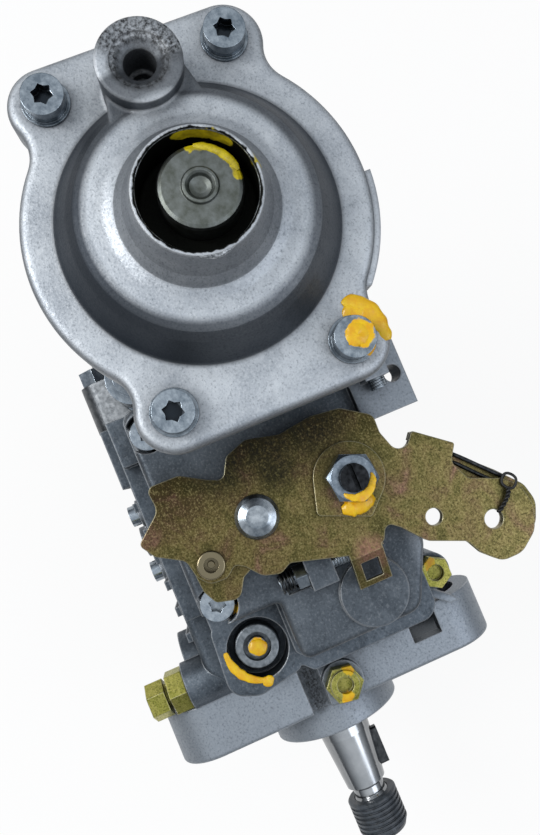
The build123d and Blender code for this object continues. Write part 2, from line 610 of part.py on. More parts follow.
# thicker land along the right edge
land = cz(BOOST_R + 1.4, BOOST_LOW + 2, BOOST_TOP - 1.6, BOOST_X, BOOST_Y)
land &= bx(BOOST_X + 2.5, BOOST_X + 30, BOOST_Y + 20, BOOST_Y + 60, 100, 140)
land -= cz(BOOST_R - 6, 100, 140, BOOST_X, BOOST_Y)
boost += land
save("boost_cover", boost)
cap = lathe([
    (0, 138.5), (9.9, 138.5), (9.9, 145.6), (9.5, 146.5), (8.7, 146.9), (4.4, 147.1),
    (4.0, 147.6), (3.4, 147.7), (2.9, 147.2), (2.5, 146.3), (1.4, 145.9), (0, 145.8),
]).moved(Location((BOOST_X - 1.7, BOOST_Y + 1.3, 0)))
save("tower_cap", cap)
boost_screws = []
for x, y in corners:
    s = cz(2.95, 106, BOOST_TOP, x, y) + cz(6.0, BOOST_TOP, BOOST_TOP + 0.9, x, y)
    s += cz(5.2, BOOST_TOP + 0.8, BOOST_TOP + 5.2, x, y)
    s -= torx(x, y, BOOST_TOP + 5.2)
    boost_screws.append(s)
save("boost_cover_screws", boost_screws)
skin = Pos(0, 0, BOOST_LOW - 0.58) * extrude(boost_outline(1.5), amount=0.56)
for x, y in corners:
    skin -= cz(3.3, 110, 125, x, y)
skin -= cz(PIN_R / 2 + 0.1, 110, 125, BOOST_X, BOOST_Y)
save("diaphragm", skin)
plates = cz(26, BOOST_LOW, BOOST_LOW + 1.3, BOOST_X, BOOST_Y)
plates -= cz(PIN_R / 2 + 0.05, 110, 130, BOOST_X, BOOST_Y)
low = cz(24, BOOST_LOW - 2.0, BOOST_LOW - 0.6, BOOST_X, BOOST_Y)
low -= cz(PIN_R / 2 + 0.05, 110, 130, BOOST_X, BOOST_Y)
save("diaphragm_plates", [plates, low])
boost_pin = cz(PIN_R, 82, BOOST_LOW - 2.02, BOOST_X, BOOST_Y)
boost_pin += cz(PIN_R / 2, 100, 123, BOOST_X, BOOST_Y)
boost_pin += lathe([(0, 76.5), (3.4, 76.5), (PIN_R, 82.5), (0, 82.5)]).moved(
    Location((BOOST_X, BOOST_Y, 0))
)
boost_pin += hexz(10, BOOST_LOW + 1.32, BOOST_LOW + 4.6, BOOST_X, BOOST_Y)
save("boost_pin", boost_pin)
save("boost_spring", Pos(BOOST_X, BOOST_Y, 101.1) * coil(13, 1.05, 14.0, 3.5))

# ------------------------------------------------------------- throttle lever
outline = [
    (-58.0, 71.6, 4), (-50.9, 73.0, 6), (-44.2, 70.3, 6), (-39.9, 64.4, 6),
    (-39.9, 58.0, 5), (-44.4, 53.3, 4), (-49.1, 50.9, 3), (-53.7, 40.2, 4),
    (-60.3, 34.6, 2), (-63.2, 31.0, 2), (-58.4, 28.4, 2), (-58.7, 17.8, 1.5),
    (-63.6, 1.4, 2), (-61.8, -2.0, 3), (-63.3, -7.0, 4), (-67.6, -10.6, 2),
    (-69.2, -13.0, 1.5), (-66.6, -16.4, 3), (-66.9, -21.6, 4), (-70.4, -24.2, 4),
    (-75.5, -25.2, 3), (-80.0, -32.7, 2), (-84.6, -35.6, 1.5), (-91.6, -27.2, 4),
    (-98.6, -28.0, 2), (-98.4, -18.2, 3), (-94.2, -11.2, 2), (-92.4, -7.0, 2),
    (-98.2, -3.8, 3), (-100.6, 3.0, 4), (-98.2, 12.4, 4), (-99.6, 22.5, 5),
    (-98.6, 31.4, 5), (-93.0, 39.8, 3), (-87.6, 39.6, 3), (-81.6, 41.6, 3),
    (-80.6, 45.2, 3), (-84.4, 48.4, 0.8), (-76.4, 58.6, 0.8), (-71.6, 55.4, 3),
    (-65.6, 58.2, 3), (-61.9, 66.9, 3),
]
lever = Pos(0, 0, LEVER_Z0) * extrude(rounded(outline), amount=LEVER_Z1 - LEVER_Z0)
# bent-down stop tab at the front and the one at the right rear
lever += bx(-60.4, -57.9, 19.6, 28.2, 85.4, LEVER_Z1 - 0.6)
d = math.hypot(8.0, 10.2)
ux, uy = 8.0 / d, 10.2 / d
ax, ay = -84.2, 48.7
tab = [
    (ax, ay), (ax + ux * (d - 0.8), ay + uy * (d - 0.8)),
    (ax + ux * (d - 0.8) + uy * 2.4, ay + uy * (d - 0.8) - ux * 2.4),
    (ax + uy * 2.4, ay - ux * 2.4),
]
lever += flat(tab, 89.2, LEVER_Z1 - 0.4)
# sloping tab with a window beside the stop tab
slope = [(-59.6, 95.5), (-57.2, 95.5), (-47.6, 90.4), (-47.6, 88.4), (-58.0, 93.4), (-59.6, 93.4)]
slope_tab = slab_y(slope, 17.6, 27.6) - slab_y(
    [(-55.2, 97), (-49.4, 97), (-49.4, 86), (-55.2, 86)], 20.0, 25.4
)
lever += slope_tab
# turned-down flange along the rear left edge
lever += flat([(-98.5, -26.5), (-98.3, -18.6), (-95.9, -18.6), (-96.1, -26.5)], 87.5, 94)
lever -= cz(END_HOLE_R, 90, 97, *END_HOLE)
lever -= cz(MID_HOLE_R, 90, 97, *MID_HOLE)
lever -= cz(4.0, 90, 97, LEVER_X, LEVER_Y)
lever -= cz(2.5, 90, 97, *RIVET)
lever -= cz(3.0, 90, 97, *EYELET)
save("throttle_lever", lever)
under = [
    (-71.4, -24.6, 2), (-65.3, -24.1, 3), (-61.2, -22.0, 2), (-59.4, -15.3, 3),
    (-64.7, -12.1, 2), (-66.6, -8.0, 2), (-66.0, 4.0, 3), (-79.0, 6.5, 5),
    (-86.5, 0.0, 5), (-86.0, -9.0, 4), (-77.6, -22.0, 4),
]
under_plate = Pos(0, 0, LEVER_Z0 - 1.6) * extrude(rounded(under), amount=1.58)
under_plate += flat([(-62.4, -20.8), (-60.8, -15.4), (-62.6, -14.9), (-64.2, -20.2)], 86.5, 92.4)
under_plate -= cz(2.5, 88, 94, *RIVET)
under_plate -= cz(3.0, 88, 94, *EYELET)
# second plate that stiffens the arm from below
arm_low = [
    (-74.0, 52.0, 2), (-73.6, 57.8, 2), (-64.4, 67.2, 4), (-57.2, 73.6, 5), (-51.4, 75.0, 6),
    (-45.4, 72.4, 6), (-41.2, 66.0, 6), (-43.6, 58.6, 5), (-50.8, 54.6, 4), (-58.0, 42.0, 4),
    (-66.0, 44.0, 3),
]
arm_plate = Pos(0, 0, LEVER_Z0 - 1.9) * extrude(rounded(arm_low), amount=1.88)
for hole, r in ((END_HOLE, END_HOLE_R), (MID_HOLE, MID_HOLE_R)):
    arm_plate -= cz(r + 0.5, 88, 94, *hole)
save("lever_underplate", [under_plate, arm_plate])
dome_head = lathe([
    (0, LEVER_Z1), (6.3, LEVER_Z1), (6.4, LEVER_Z1 + 0.7), (5.4, LEVER_Z1 + 1.9),
    (3.2, LEVER_Z1 + 2.9), (0, LEVER_Z1 + 3.2),
]).moved(Location((*RIVET, 0)))
dome_head += cz(2.45, LEVER_Z0 - 2.0, LEVER_Z1 + 1, *RIVET)
dome_head += cz(4.4, LEVER_Z0 - 2.1, LEVER_Z0 - 1.62, *RIVET)
eyelet = cz(4.1, LEVER_Z1, LEVER_Z1 + 1.2, *EYELET) + cz(
    2.95, LEVER_Z0 - 2.1, LEVER_Z1 + 0.5, *EYELET
)
eyelet += cz(4.1, LEVER_Z0 - 2.1, LEVER_Z0 - 1.62, *EYELET)
eyelet = fillet(eyelet.edges().group_by(Axis.Z)[-1], 0.6)
eyelet -= cz(2.1, LEVER_Z1 - 2.0, LEVER_Z1 + 2, *EYELET)
eyelet += cz(1.0, LEVER_Z1 - 2.2, LEVER_Z1 - 0.6, *EYELET)
save("lever_rivets", [dome_head, eyelet])
washer_face = tangent_hull([
    (LEVER_X, LEVER_Y, 10.4), (-73.6, 15.2, 1.4), (-68.2, 27.6, 1.4),
])
washer = Pos(0, 0, LEVER_Z1 + 0.02) * extrude(washer_face, amount=1.3)
washer -= cz(4.05, 90, 100, LEVER_X, LEVER_Y)
save("lever_washer", washer)
nut_z = LEVER_Z1 + 1.34
nut = hexz(13, nut_z, nut_z + 6.5, LEVER_X, LEVER_Y, 8)
nut &= lathe([
    (0, nut_z), (7.5, nut_z), (7.5, nut_z + 5.6), (6.2, nut_z + 6.5), (0, nut_z + 6.5),
]).moved(Location((LEVER_X, LEVER_Y, 0)))
nut -= cz(4.0, 90, 110, LEVER_X, LEVER_Y)
save("lever_nut", nut)
throttle = cz(LEVER_SHAFT_R, 77, LEVER_Z0 - 0.02, LEVER_X, LEVER_Y)
throttle += cz(3.98, 90, 105.4, LEVER_X, LEVER_Y)
throttle += cz(8.0, 74.4, 77.2, LEVER_X, LEVER_Y)
throttle += cz(1.5, 70.6, 75, LEVER_X - 5.3, LEVER_Y)
throttle -= bx(-90, -70, LEVER_Y - 0.6, LEVER_Y + 0.6, 103.6, 106)
save("throttle_shaft", throttle)
spring = Pos(LEVER_X, LEVER_Y, 85.4) * coil(10.6, 0.75, 5.2, 3)
save("lever_return_spring", spring)
idle = cy(IDLE_R, -3.5, 19.3, IDLE_X, IDLE_Z)
idle += along_y(hexz(7, 0, 3.4, 0, 0, 30), IDLE_X, 1.5, IDLE_Z)
stop = cx(2.5, -119, -99.4, 45.5, 91.8) + along_x(hexz(8, 0, 3.4), -116.6, 45.5, 91.8)
save("stop_screws", [idle, stop])

# ------------------------------------------------------------------- governor
save("governor_shaft", cx(GOV_R, -96, -31, GOV_Y, GOV_Z))
cage = gear(CAGE_TEETH, GEAR_X0, GEAR_X1, GOV_Y, GOV_Z, mesh + math.pi + math.pi / CAGE_TEETH)
cage += cx(19, -66, GEAR_X0, GOV_Y, GOV_Z)
for k in range(4):
    post = bx(-88, -65, GOV_Y - 2, GOV_Y + 2, GOV_Z + 14.2, GOV_Z + 18.4)
    cage += turned(post, 45 + 90 * k, GOV_Y, GOV_Z)
rim = cx(19, -90, -87.5, GOV_Y, GOV_Z) - cx(16, -91, -87, GOV_Y, GOV_Z)
cage += rim
for k in range(4):
    gap = bx(-91, -87, GOV_Y - 7.6, GOV_Y + 7.6, GOV_Z + 8, GOV_Z + 25)
    cage -= turned(gap, 90 * k, GOV_Y, GOV_Z)
cage -= cx(GOV_R + RUN, -99, -50, GOV_Y, GOV_Z)
save("flyweight_cage", cage)
for k in range(4):
    w = bx(-83, -70.5, GOV_Y - 7, GOV_Y + 7, GOV_Z + 11.6, GOV_Z + 15.5)
    w += bx(-70.6, -68.6, GOV_Y - 4, GOV_Y + 4, GOV_Z + 8.0, GOV_Z + 17.6)
    w += bx(-71.0, -68.6, GOV_Y - 7, GOV_Y + 7, GOV_Z + 13.5, GOV_Z + 17.6)
    w += cy(1.5, GOV_Y - 7.6, GOV_Y + 7.6, -69.5, GOV_Z + 17)
    save("flyweight_" + str(k + 1), turned(w, 90 * k, GOV_Y, GOV_Z))
sleeve = along_x(lathe([
    (0, -100), (2.0, -99.8), (4.6, -98.8), (6.5, -96.4), (6.5, -73), (11, -73),
    (11, -70.62), (GOV_R + RUN, -70.62), (GOV_R + RUN, -98.4), (0, -98.4),
]), 0, GOV_Y, GOV_Z)
save("governor_sleeve", sleeve)

start = bx(-102.6, -100.12, GOV_Y - 6, GOV_Y + 6, 40, 60)
start += slab_y([(-102.6, 44), (-100.06, 44), (-103, 30), (-108, 30), (-108, 36)], 2, 15.6)
start += cy(4.5, -2.5, 15.6, PIVOT_X, PIVOT_Z)
start += slab_y([(-109, 32), (-103, 32), (-109.3, 15), (-112.7, 15)], -2.5, 2.5)
start += cz(1.6, 11, 16, BALL_X, 0)
start += Pos(BALL_X, 0, BALL_Z) * Sphere(BALL_R)
start -= cy(PIVOT_R + RUN, -4, 17, PIVOT_X, PIVOT_Z)
save("starting_lever", start)
tension = bx(-109.4, -106.4, -5, 31, 41, 76)
tension -= bx(-110, -106, 3, 15, 40, 52)
for y0 in (-6.0, 17.0):
    tension += bx(-109.4, -103, y0, y0 + 2.4, 30.5, 43)
tension -= cy(PIVOT_R, -19, 35, PIVOT_X, PIVOT_Z)
tension += cy(PIVOT_R, -23, 39, PIVOT_X, PIVOT_Z)
tension += cx(5.0, -106.5, -105.2, LEVER_Y, 71.0)
tension += cx(2.5, -106.5, -101.0, LEVER_Y, 71.0)
save("tension_lever", tension)
gov_spring = along_x(coil(3.4, 0.6, 17.4, 6), -104.3, LEVER_Y, 71.0)
save("governor_spring", gov_spring)
collar = cx(COLLAR_R, COLLAR_X0, COLLAR_X1) - cx(PLUNGER_R + RUN, -118, -104)
collar -= cz(BALL_R + 0.06, 6.5, 15, BALL_X, 0)
save("control_collar", collar)

# -------------------------------------------------------------- timing device
piston = cy(TIMING_R, -18, 22, TIMING_X, TIMING_Z)
piston -= bx(TIMING_X - 4.12, TIMING_X + 4.12, -4.12, 4.12, TIMING_Z - 6, TIMING_Z + 14)
piston -= cy(8.5, -19, -9, TIMING_X, TIMING_Z)
save("timing_piston", piston)
spring_y = -BODY_HALF + 1.2
spring = along_y(coil(6.4, 1.0, -11.2 - spring_y, 6), TIMING_X, spring_y, TIMING_Z)
save("timing_spring", spring)

# ------------------------------------------------------------------- fittings
inlet = cz(5.95, INLET_TOP - 20, INLET_TOP - 8.9, INLET_X, INLET_Y)
inlet += cz(7.6, INLET_TOP - 8.95, INLET_TOP - 3.0, INLET_X, INLET_Y)
inlet = fillet(inlet.edges().group_by(Axis.Z)[-1], 1.0)
inlet -= cz(4.6, INLET_TOP - 5.2, INLET_TOP, INLET_X, INLET_Y)
inlet += cz(3.1, INLET_TOP - 6, INLET_TOP - 2.6, INLET_X, INLET_Y)
save("inlet_screw", inlet)
front_plug = cz(4.95, 26.5, 34, PLUG_X, PLUG_Y) + hexz(12, 33.52, 37.6, PLUG_X, PLUG_Y, 20)
front_plug += cz(5.2, 37.5, 38.6, PLUG_X, PLUG_Y)
front_plug -= cz(3.0, 36.5, 39, PLUG_X, PLUG_Y)
side_plug = cz(3.95, 33, 43.5, SIDE_PLUG_X, SIDE_PLUG_Y)
side_plug += hexz(10, 43.02, 48.4, SIDE_PLUG_X, SIDE_PLUG_Y, 0)
side_plug -= cz(2.8, 46.5, 50, SIDE_PLUG_X, SIDE_PLUG_Y)
save("front_plug", [front_plug, side_plug])
fitting = cy(4.95, -48, -35, FIT_X, FIT_Z)
fitting += along_y(hexz(14, 0, 6.4, 0, 0, 30), FIT_X, -53.6, FIT_Z)
fitting += cy(4.2, -55.6, -53.4, FIT_X, FIT_Z)
fitting += along_y(hexz(12, 0, 6.6, 0, 0, 0), FIT_X + 0.6, -61.6, FIT_Z)
save("return_fitting", fitting)
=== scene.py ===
# %% [markdown]
# # Dressing a diesel injection pump
# The pump comes as a finished engineering model: every casting, screw and lever already has its true
# shape and size. This notebook gives it the things that a drawing lacks: cast skin, zinc plating, oil
# and soot, screw threads, a burr, dabs of marking paint, a seal wire, and soft light to see them by.
# Many of its colours also hold painted shade, painted shadow and painted highlights.
# Everything is in metres, and the first step loads the model as a fixed frame that nothing may move.
# %% Load the pump
import json
import math
import bpy
import numpy as np
from mathutils import Matrix, Vector


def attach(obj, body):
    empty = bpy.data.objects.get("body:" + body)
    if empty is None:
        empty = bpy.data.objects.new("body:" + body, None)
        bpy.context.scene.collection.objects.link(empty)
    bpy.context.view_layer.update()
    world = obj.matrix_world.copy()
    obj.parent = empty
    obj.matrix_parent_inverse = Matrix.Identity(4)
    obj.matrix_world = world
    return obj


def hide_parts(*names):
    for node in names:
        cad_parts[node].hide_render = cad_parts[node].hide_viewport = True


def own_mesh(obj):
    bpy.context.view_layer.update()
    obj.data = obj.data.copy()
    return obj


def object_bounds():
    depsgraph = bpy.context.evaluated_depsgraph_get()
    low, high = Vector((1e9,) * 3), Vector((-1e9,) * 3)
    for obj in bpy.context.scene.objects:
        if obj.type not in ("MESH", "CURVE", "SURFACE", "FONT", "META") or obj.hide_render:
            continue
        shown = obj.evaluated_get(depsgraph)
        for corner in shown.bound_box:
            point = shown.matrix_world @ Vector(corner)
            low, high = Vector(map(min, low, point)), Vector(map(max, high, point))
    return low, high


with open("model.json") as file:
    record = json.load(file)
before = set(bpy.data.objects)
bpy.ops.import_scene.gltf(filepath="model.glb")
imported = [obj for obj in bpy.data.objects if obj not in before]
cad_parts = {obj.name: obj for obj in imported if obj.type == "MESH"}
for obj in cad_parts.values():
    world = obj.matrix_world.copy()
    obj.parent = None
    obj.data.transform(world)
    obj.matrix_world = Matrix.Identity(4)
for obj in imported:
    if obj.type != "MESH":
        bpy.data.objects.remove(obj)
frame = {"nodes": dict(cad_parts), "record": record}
cad_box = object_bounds()
cad_nodes = frame["nodes"]
MM = 0.001

# %% [markdown]
# ## The camera
# The pump is seen almost straight from above, from about a third of a metre, so near things look clearly
# larger than far ones. A camera is a place, three directions and a focal length. The directions could be
# given as Euler angles, but three unit vectors (right, up, and back towards the viewer) are easier to
# check, and they go straight into the columns of a matrix.
# %% Place the camera
CAMERA_AT = (-0.09576, -0.00754, 0.31476)
CAMERA_RIGHT = (0.38631, 0.91951, 0.06843)
CAMERA_UP = (-0.92136, 0.38208, 0.06732)
CAMERA_BACK = (0.03576, -0.08905, 0.99538)
FOCAL_PIXELS = 773.245
IMAGE_HEIGHT = 835
SENSOR_MM = 36.0

camera = bpy.data.objects.new("camera", bpy.data.cameras.new("camera"))
bpy.context.scene.collection.objects.link(camera)
camera.data.sensor_fit = "VERTICAL"
camera.data.sensor_height = SENSOR_MM
camera.data.lens = FOCAL_PIXELS / IMAGE_HEIGHT * SENSOR_MM
camera.data.clip_start = 0.01
turn = Matrix((CAMERA_RIGHT, CAMERA_UP, CAMERA_BACK)).transposed()
camera.matrix_world = Matrix.Translation(CAMERA_AT) @ turn.to_4x4()
bpy.context.scene.camera = camera
print("focal length in mm:", round(camera.data.lens, 2))

# %% [markdown]
# ## Colours and nodes
# Colours are written as on screens, in hex, and the renderer wants them linear, so one function converts
# them. A material is a small graph of nodes. One helper adds a node, sets it and links it, which keeps
# every recipe below as short as a list of ingredients.
# %% Colour and node helpers
def linear(code):
    """Each channel c of an sRGB hex colour becomes ((c + 0.055) / 1.055) ** 2.4, or c / 12.92 near black."""
    srgb = [int(code[i:i + 2], 16) / 255 for i in (0, 2, 4)]
    return [c / 12.92 if c <= 0.04045 else ((c + 0.055) / 1.055) ** 2.4 for c in srgb] + [1.0]


def add(tree, kind, inputs=None, **settings):
    """Adds a node. settings are its properties, and inputs maps a socket to a value or to an output."""
    node = tree.nodes.new(kind)
    for key, value in settings.items():
        setattr(node, key, value)
    for key, value in (inputs or {}).items():
        if isinstance(value, bpy.types.NodeSocket):
            tree.links.new(value, node.inputs[key])
        else:
            node.inputs[key].default_value = value
    return node


print("linear mid grey:", round(linear("808080")[0], 3))

# %% [markdown]
# ## Patterns that most finishes share
# Worn metal is never one colour. A few small patterns are enough for nearly all of it: a soft noise for
# stains and grain, a range that picks how much of it counts, and a bump that turns noise into tiny hills.
# Rounded edges come from the Bevel node, which bends the light at a corner as a cast radius would.
# Where the Ambient Occlusion node finds little open sky, the colour is darkened as painted shade, broken
# up by noise like grime.
# %% Pattern helpers
def start(name):
    """New material with its output, a Principled shader and the object's own coordinates."""
    material = bpy.data.materials.new(name)
    material.use_nodes = True
    tree = material.node_tree
    tree.nodes.clear()
    shader = add(tree, "ShaderNodeBsdfPrincipled")
    add(tree, "ShaderNodeOutputMaterial", {"Surface": shader.outputs["BSDF"]})
    where = add(tree, "ShaderNodeTexCoord").outputs["Object"]
    return material, tree, shader, where


def noise(tree, where, size_mm, detail=3.0, rough=0.55, distort=0.0):
    """Soft random pattern between 0 and 1 whose blobs are about size_mm wide."""
    made = add(tree, "ShaderNodeTexNoise", {"Vector": where, "Scale": 1 / (size_mm * MM), "Detail": detail,
                                            "Roughness": rough, "Distortion": distort})
    return made.outputs["Fac"]


def span(tree, value, low, high, to_low=0.0, to_high=1.0):
    """Maps low..high onto to_low..to_high and clamps outside."""
    made = add(tree, "ShaderNodeMapRange", {"Value": value, "From Min": low, "From Max": high,
                                            "To Min": to_low, "To Max": to_high})
    return made.outputs["Result"]


def mix(tree, share, first, second):
    """Blends two colours, each a hex code or an output, by a share that is a number or an output."""
    made = add(tree, "ShaderNodeMix", data_type="RGBA")
    for socket, value in ((made.inputs[0], share), (made.inputs[6], first), (made.inputs[7], second)):
        if isinstance(value, bpy.types.NodeSocket):
            tree.links.new(value, socket)
        else:
            socket.default_value = linear(value) if isinstance(value, str) else value
    return made.outputs[2]


def sums(tree, how, first, second):
    """One step of arithmetic on numbers or outputs."""
    return add(tree, "ShaderNodeMath", {0: first, 1: second}, operation=how).outputs[0]


def bump(tree, height, strength, depth_mm, normal):
    """Turns a height pattern into a normal; depth_mm is how deep a height of 1 is."""
    return add(tree, "ShaderNodeBump", {"Height": height, "Strength": strength, "Distance": depth_mm * MM,
                                        "Normal": normal}).outputs["Normal"]


def soft_edges(tree, radius_mm):
    """Normal that is rounded at corners by this radius."""
    return add(tree, "ShaderNodeBevel", {"Radius": radius_mm * MM}, samples=6).outputs["Normal"]


def edge_mask(tree, rounded):
    """1 on a corner and 0 on a face: how far the rounded normal leaves the true one."""
    true = add(tree, "ShaderNodeNewGeometry").outputs["True Normal"]
    along = add(tree, "ShaderNodeVectorMath", {0: rounded, 1: true}, operation="DOT_PRODUCT").outputs["Value"]
    return span(tree, along, 0.99, 0.80)


def shade_and_grime(tree, where, reach_mm, amount):
    """Share of painted shade with soiling: more where the sky is hidden within reach_mm, broken up by noise.
    """
    open_sky = add(tree, "ShaderNodeAmbientOcclusion", {"Distance": reach_mm * MM}, samples=6).outputs["AO"]
    hidden = span(tree, open_sky, 0.95, 0.30)
    patchy = span(tree, noise(tree, where, 3.5, detail=5.0, rough=0.65), 0.25, 0.75, 0.45, 1.0)
    return sums(tree, "MULTIPLY", sums(tree, "MULTIPLY", hidden, patchy), amount)


print("pattern helpers ready")

# %% [markdown]
# ## Patches that lie at a known place
# Paint that was brushed over a screw, soot round a port, and painted shade down a bore or in a slot
# cover a known spot. Such a patch is round but ragged, so its mask is the distance to a centre,
# disturbed by noise, and several spots join by taking the largest value. A patch belongs to the finish
# below it and needs no geometry of its own.
# %% Patches
PAINT, PAINT_DEEP = "efc600", "e2a400"
OLD_PAINT, OLD_PAINT_DEEP = "cdb912", "93830a"
# dark tone for soot on the port, and for painted shade down bores and in a slot
SOOT_AND_SHADE_TONE = "1c1d1f"


def patches(tree, where, spots, ragged_mm=1.4):
    """Largest of 1 - distance / radius over all spots (x, y, z, radius in mm), with a ragged rim."""
    wobble = add(tree, "ShaderNodeTexNoise", {"Vector": where, "Scale": 1 / (2.6 * MM), "Detail": 3.0})
    shift = add(tree, "ShaderNodeVectorMath", {0: wobble.outputs["Color"], 1: (0.5, 0.5, 0.5)},
                operation="SUBTRACT").outputs[0]
    shift = add(tree, "ShaderNodeVectorMath", {0: shift, "Scale": 2 * ragged_mm * MM},
                operation="SCALE").outputs[0]
    moved = add(tree, "ShaderNodeVectorMath", {0: where, 1: shift}, operation="ADD").outputs[0]
    found = 0.0
    for x, y, z, radius in spots:
        far = add(tree, "ShaderNodeVectorMath", {0: moved, 1: (x * MM, y * MM, z * MM)},
                  operation="DISTANCE").outputs["Value"]
        found = sums(tree, "MAXIMUM", found, span(tree, far, radius * MM, (radius - 0.35) * MM))
    return found


def soft_patches(tree, where, spots):
    """As patches, but each spot fades from its centre to its rim, in specks half a millimetre wide."""
    found = 0.0
    for x, y, z, radius in spots:
        far = add(tree, "ShaderNodeVectorMath", {0: where, 1: (x * MM, y * MM, z * MM)},
                  operation="DISTANCE").outputs["Value"]
        found = sums(tree, "MAXIMUM", found, span(tree, far, radius * MM, 0.35 * radius * MM))
    specks = span(tree, noise(tree, where, 0.9, detail=4.0, rough=0.7), 0.35, 0.62, 0.25, 1.0)
    return sums(tree, "MULTIPLY", found, specks)


def lay_over(tree, shader, where, base, metal, paint=(), soot_and_shade=(), hues=(PAINT_DEEP, PAINT)):
    """Lays dark patches, sooty at some places and painted shade at others, and then paint patches over a
    base colour; neither is a metal.
    """
    if soot_and_shade:
        mask = soft_patches(tree, where, soot_and_shade)
        base = mix(tree, mask, base, SOOT_AND_SHADE_TONE)
        metal = sums(tree, "MULTIPLY", metal, span(tree, mask, 0, 1, 1.0, 0.35))
    if paint:
        mask = patches(tree, where, paint)
        hue = mix(tree, span(tree, noise(tree, where, 2.5), 0.35, 0.65), *hues)
        base = mix(tree, mask, base, hue)
        metal = sums(tree, "MULTIPLY", metal, span(tree, mask, 0, 1, 1.0, 0.0))
    tree.links.new(base, shader.inputs["Base Color"])
    if isinstance(metal, bpy.types.NodeSocket):
        tree.links.new(metal, shader.inputs["Metallic"])
    else:
        shader.inputs["Metallic"].default_value = metal


print("paint colour:", PAINT)

# %% [markdown]
# ## Die-cast aluminium
# Housing and covers are cast in steel dies and left raw: light grey, faintly blue, with a fine sandy
# grain, flow stains a centimetre wide, dark pinholes, grime and painted shade in the corners, painted
# shade on steep walls, painted glints, and edges that handling has rubbed bright, lightened further as a
# painted highlight. One function makes them all, and its arguments say how pale, how stained, how dirty
# and how shaded each casting is. Painted shade inside the open tower of the boost cover, and in the
# trough round its dome, is laid out in cylinders round the tower's axis.
# %% Die-cast aluminium
TOWER = (-153.4, 11.8)
PORT = (-188.8, 11.8)


def tower_painted_shade(tree, where):
    """Two masks of painted shade by the distance to the tower's axis: the bore with a ragged edge on its
    rim, and the trough round the foot of the dome, 26 to 36 mm out, darkest on one side."""
    axis = add(tree, "ShaderNodeVectorMath", {0: where, 1: (TOWER[0] * MM, TOWER[1] * MM, 0.0)},
               operation="SUBTRACT").outputs[0]
    level = add(tree, "ShaderNodeVectorMath", {0: axis, 1: (1.0, 1.0, 0.0)}, operation="MULTIPLY").outputs[0]
    far = add(tree, "ShaderNodeVectorMath", {0: level}, operation="LENGTH").outputs["Value"]
    split = add(tree, "ShaderNodeSeparateXYZ", {0: where})
    across, height = split.outputs["Y"], split.outputs["Z"]
    ragged = sums(tree, "MULTIPLY", noise(tree, where, 2.4, detail=3.0, rough=0.6), 1.4 * MM)
    near = span(tree, sums(tree, "ADD", far, ragged), 14.95 * MM, 14.7 * MM)
    above_floor = span(tree, height, 134.0 * MM, 134.5 * MM)
    inner, outer = span(tree, far, 25.4 * MM, 27.6 * MM), span(tree, far, 36.4 * MM, 34.8 * MM)
    trough = sums(tree, "MULTIPLY", inner, outer)
    # the painted shade in the trough is deepest on one side
    thick = span(tree, across, 8.0 * MM, -14.0 * MM, 0.74, 1.0)
    return sums(tree, "MULTIPLY", near, above_floor), sums(tree, "MULTIPLY", trough, thick)


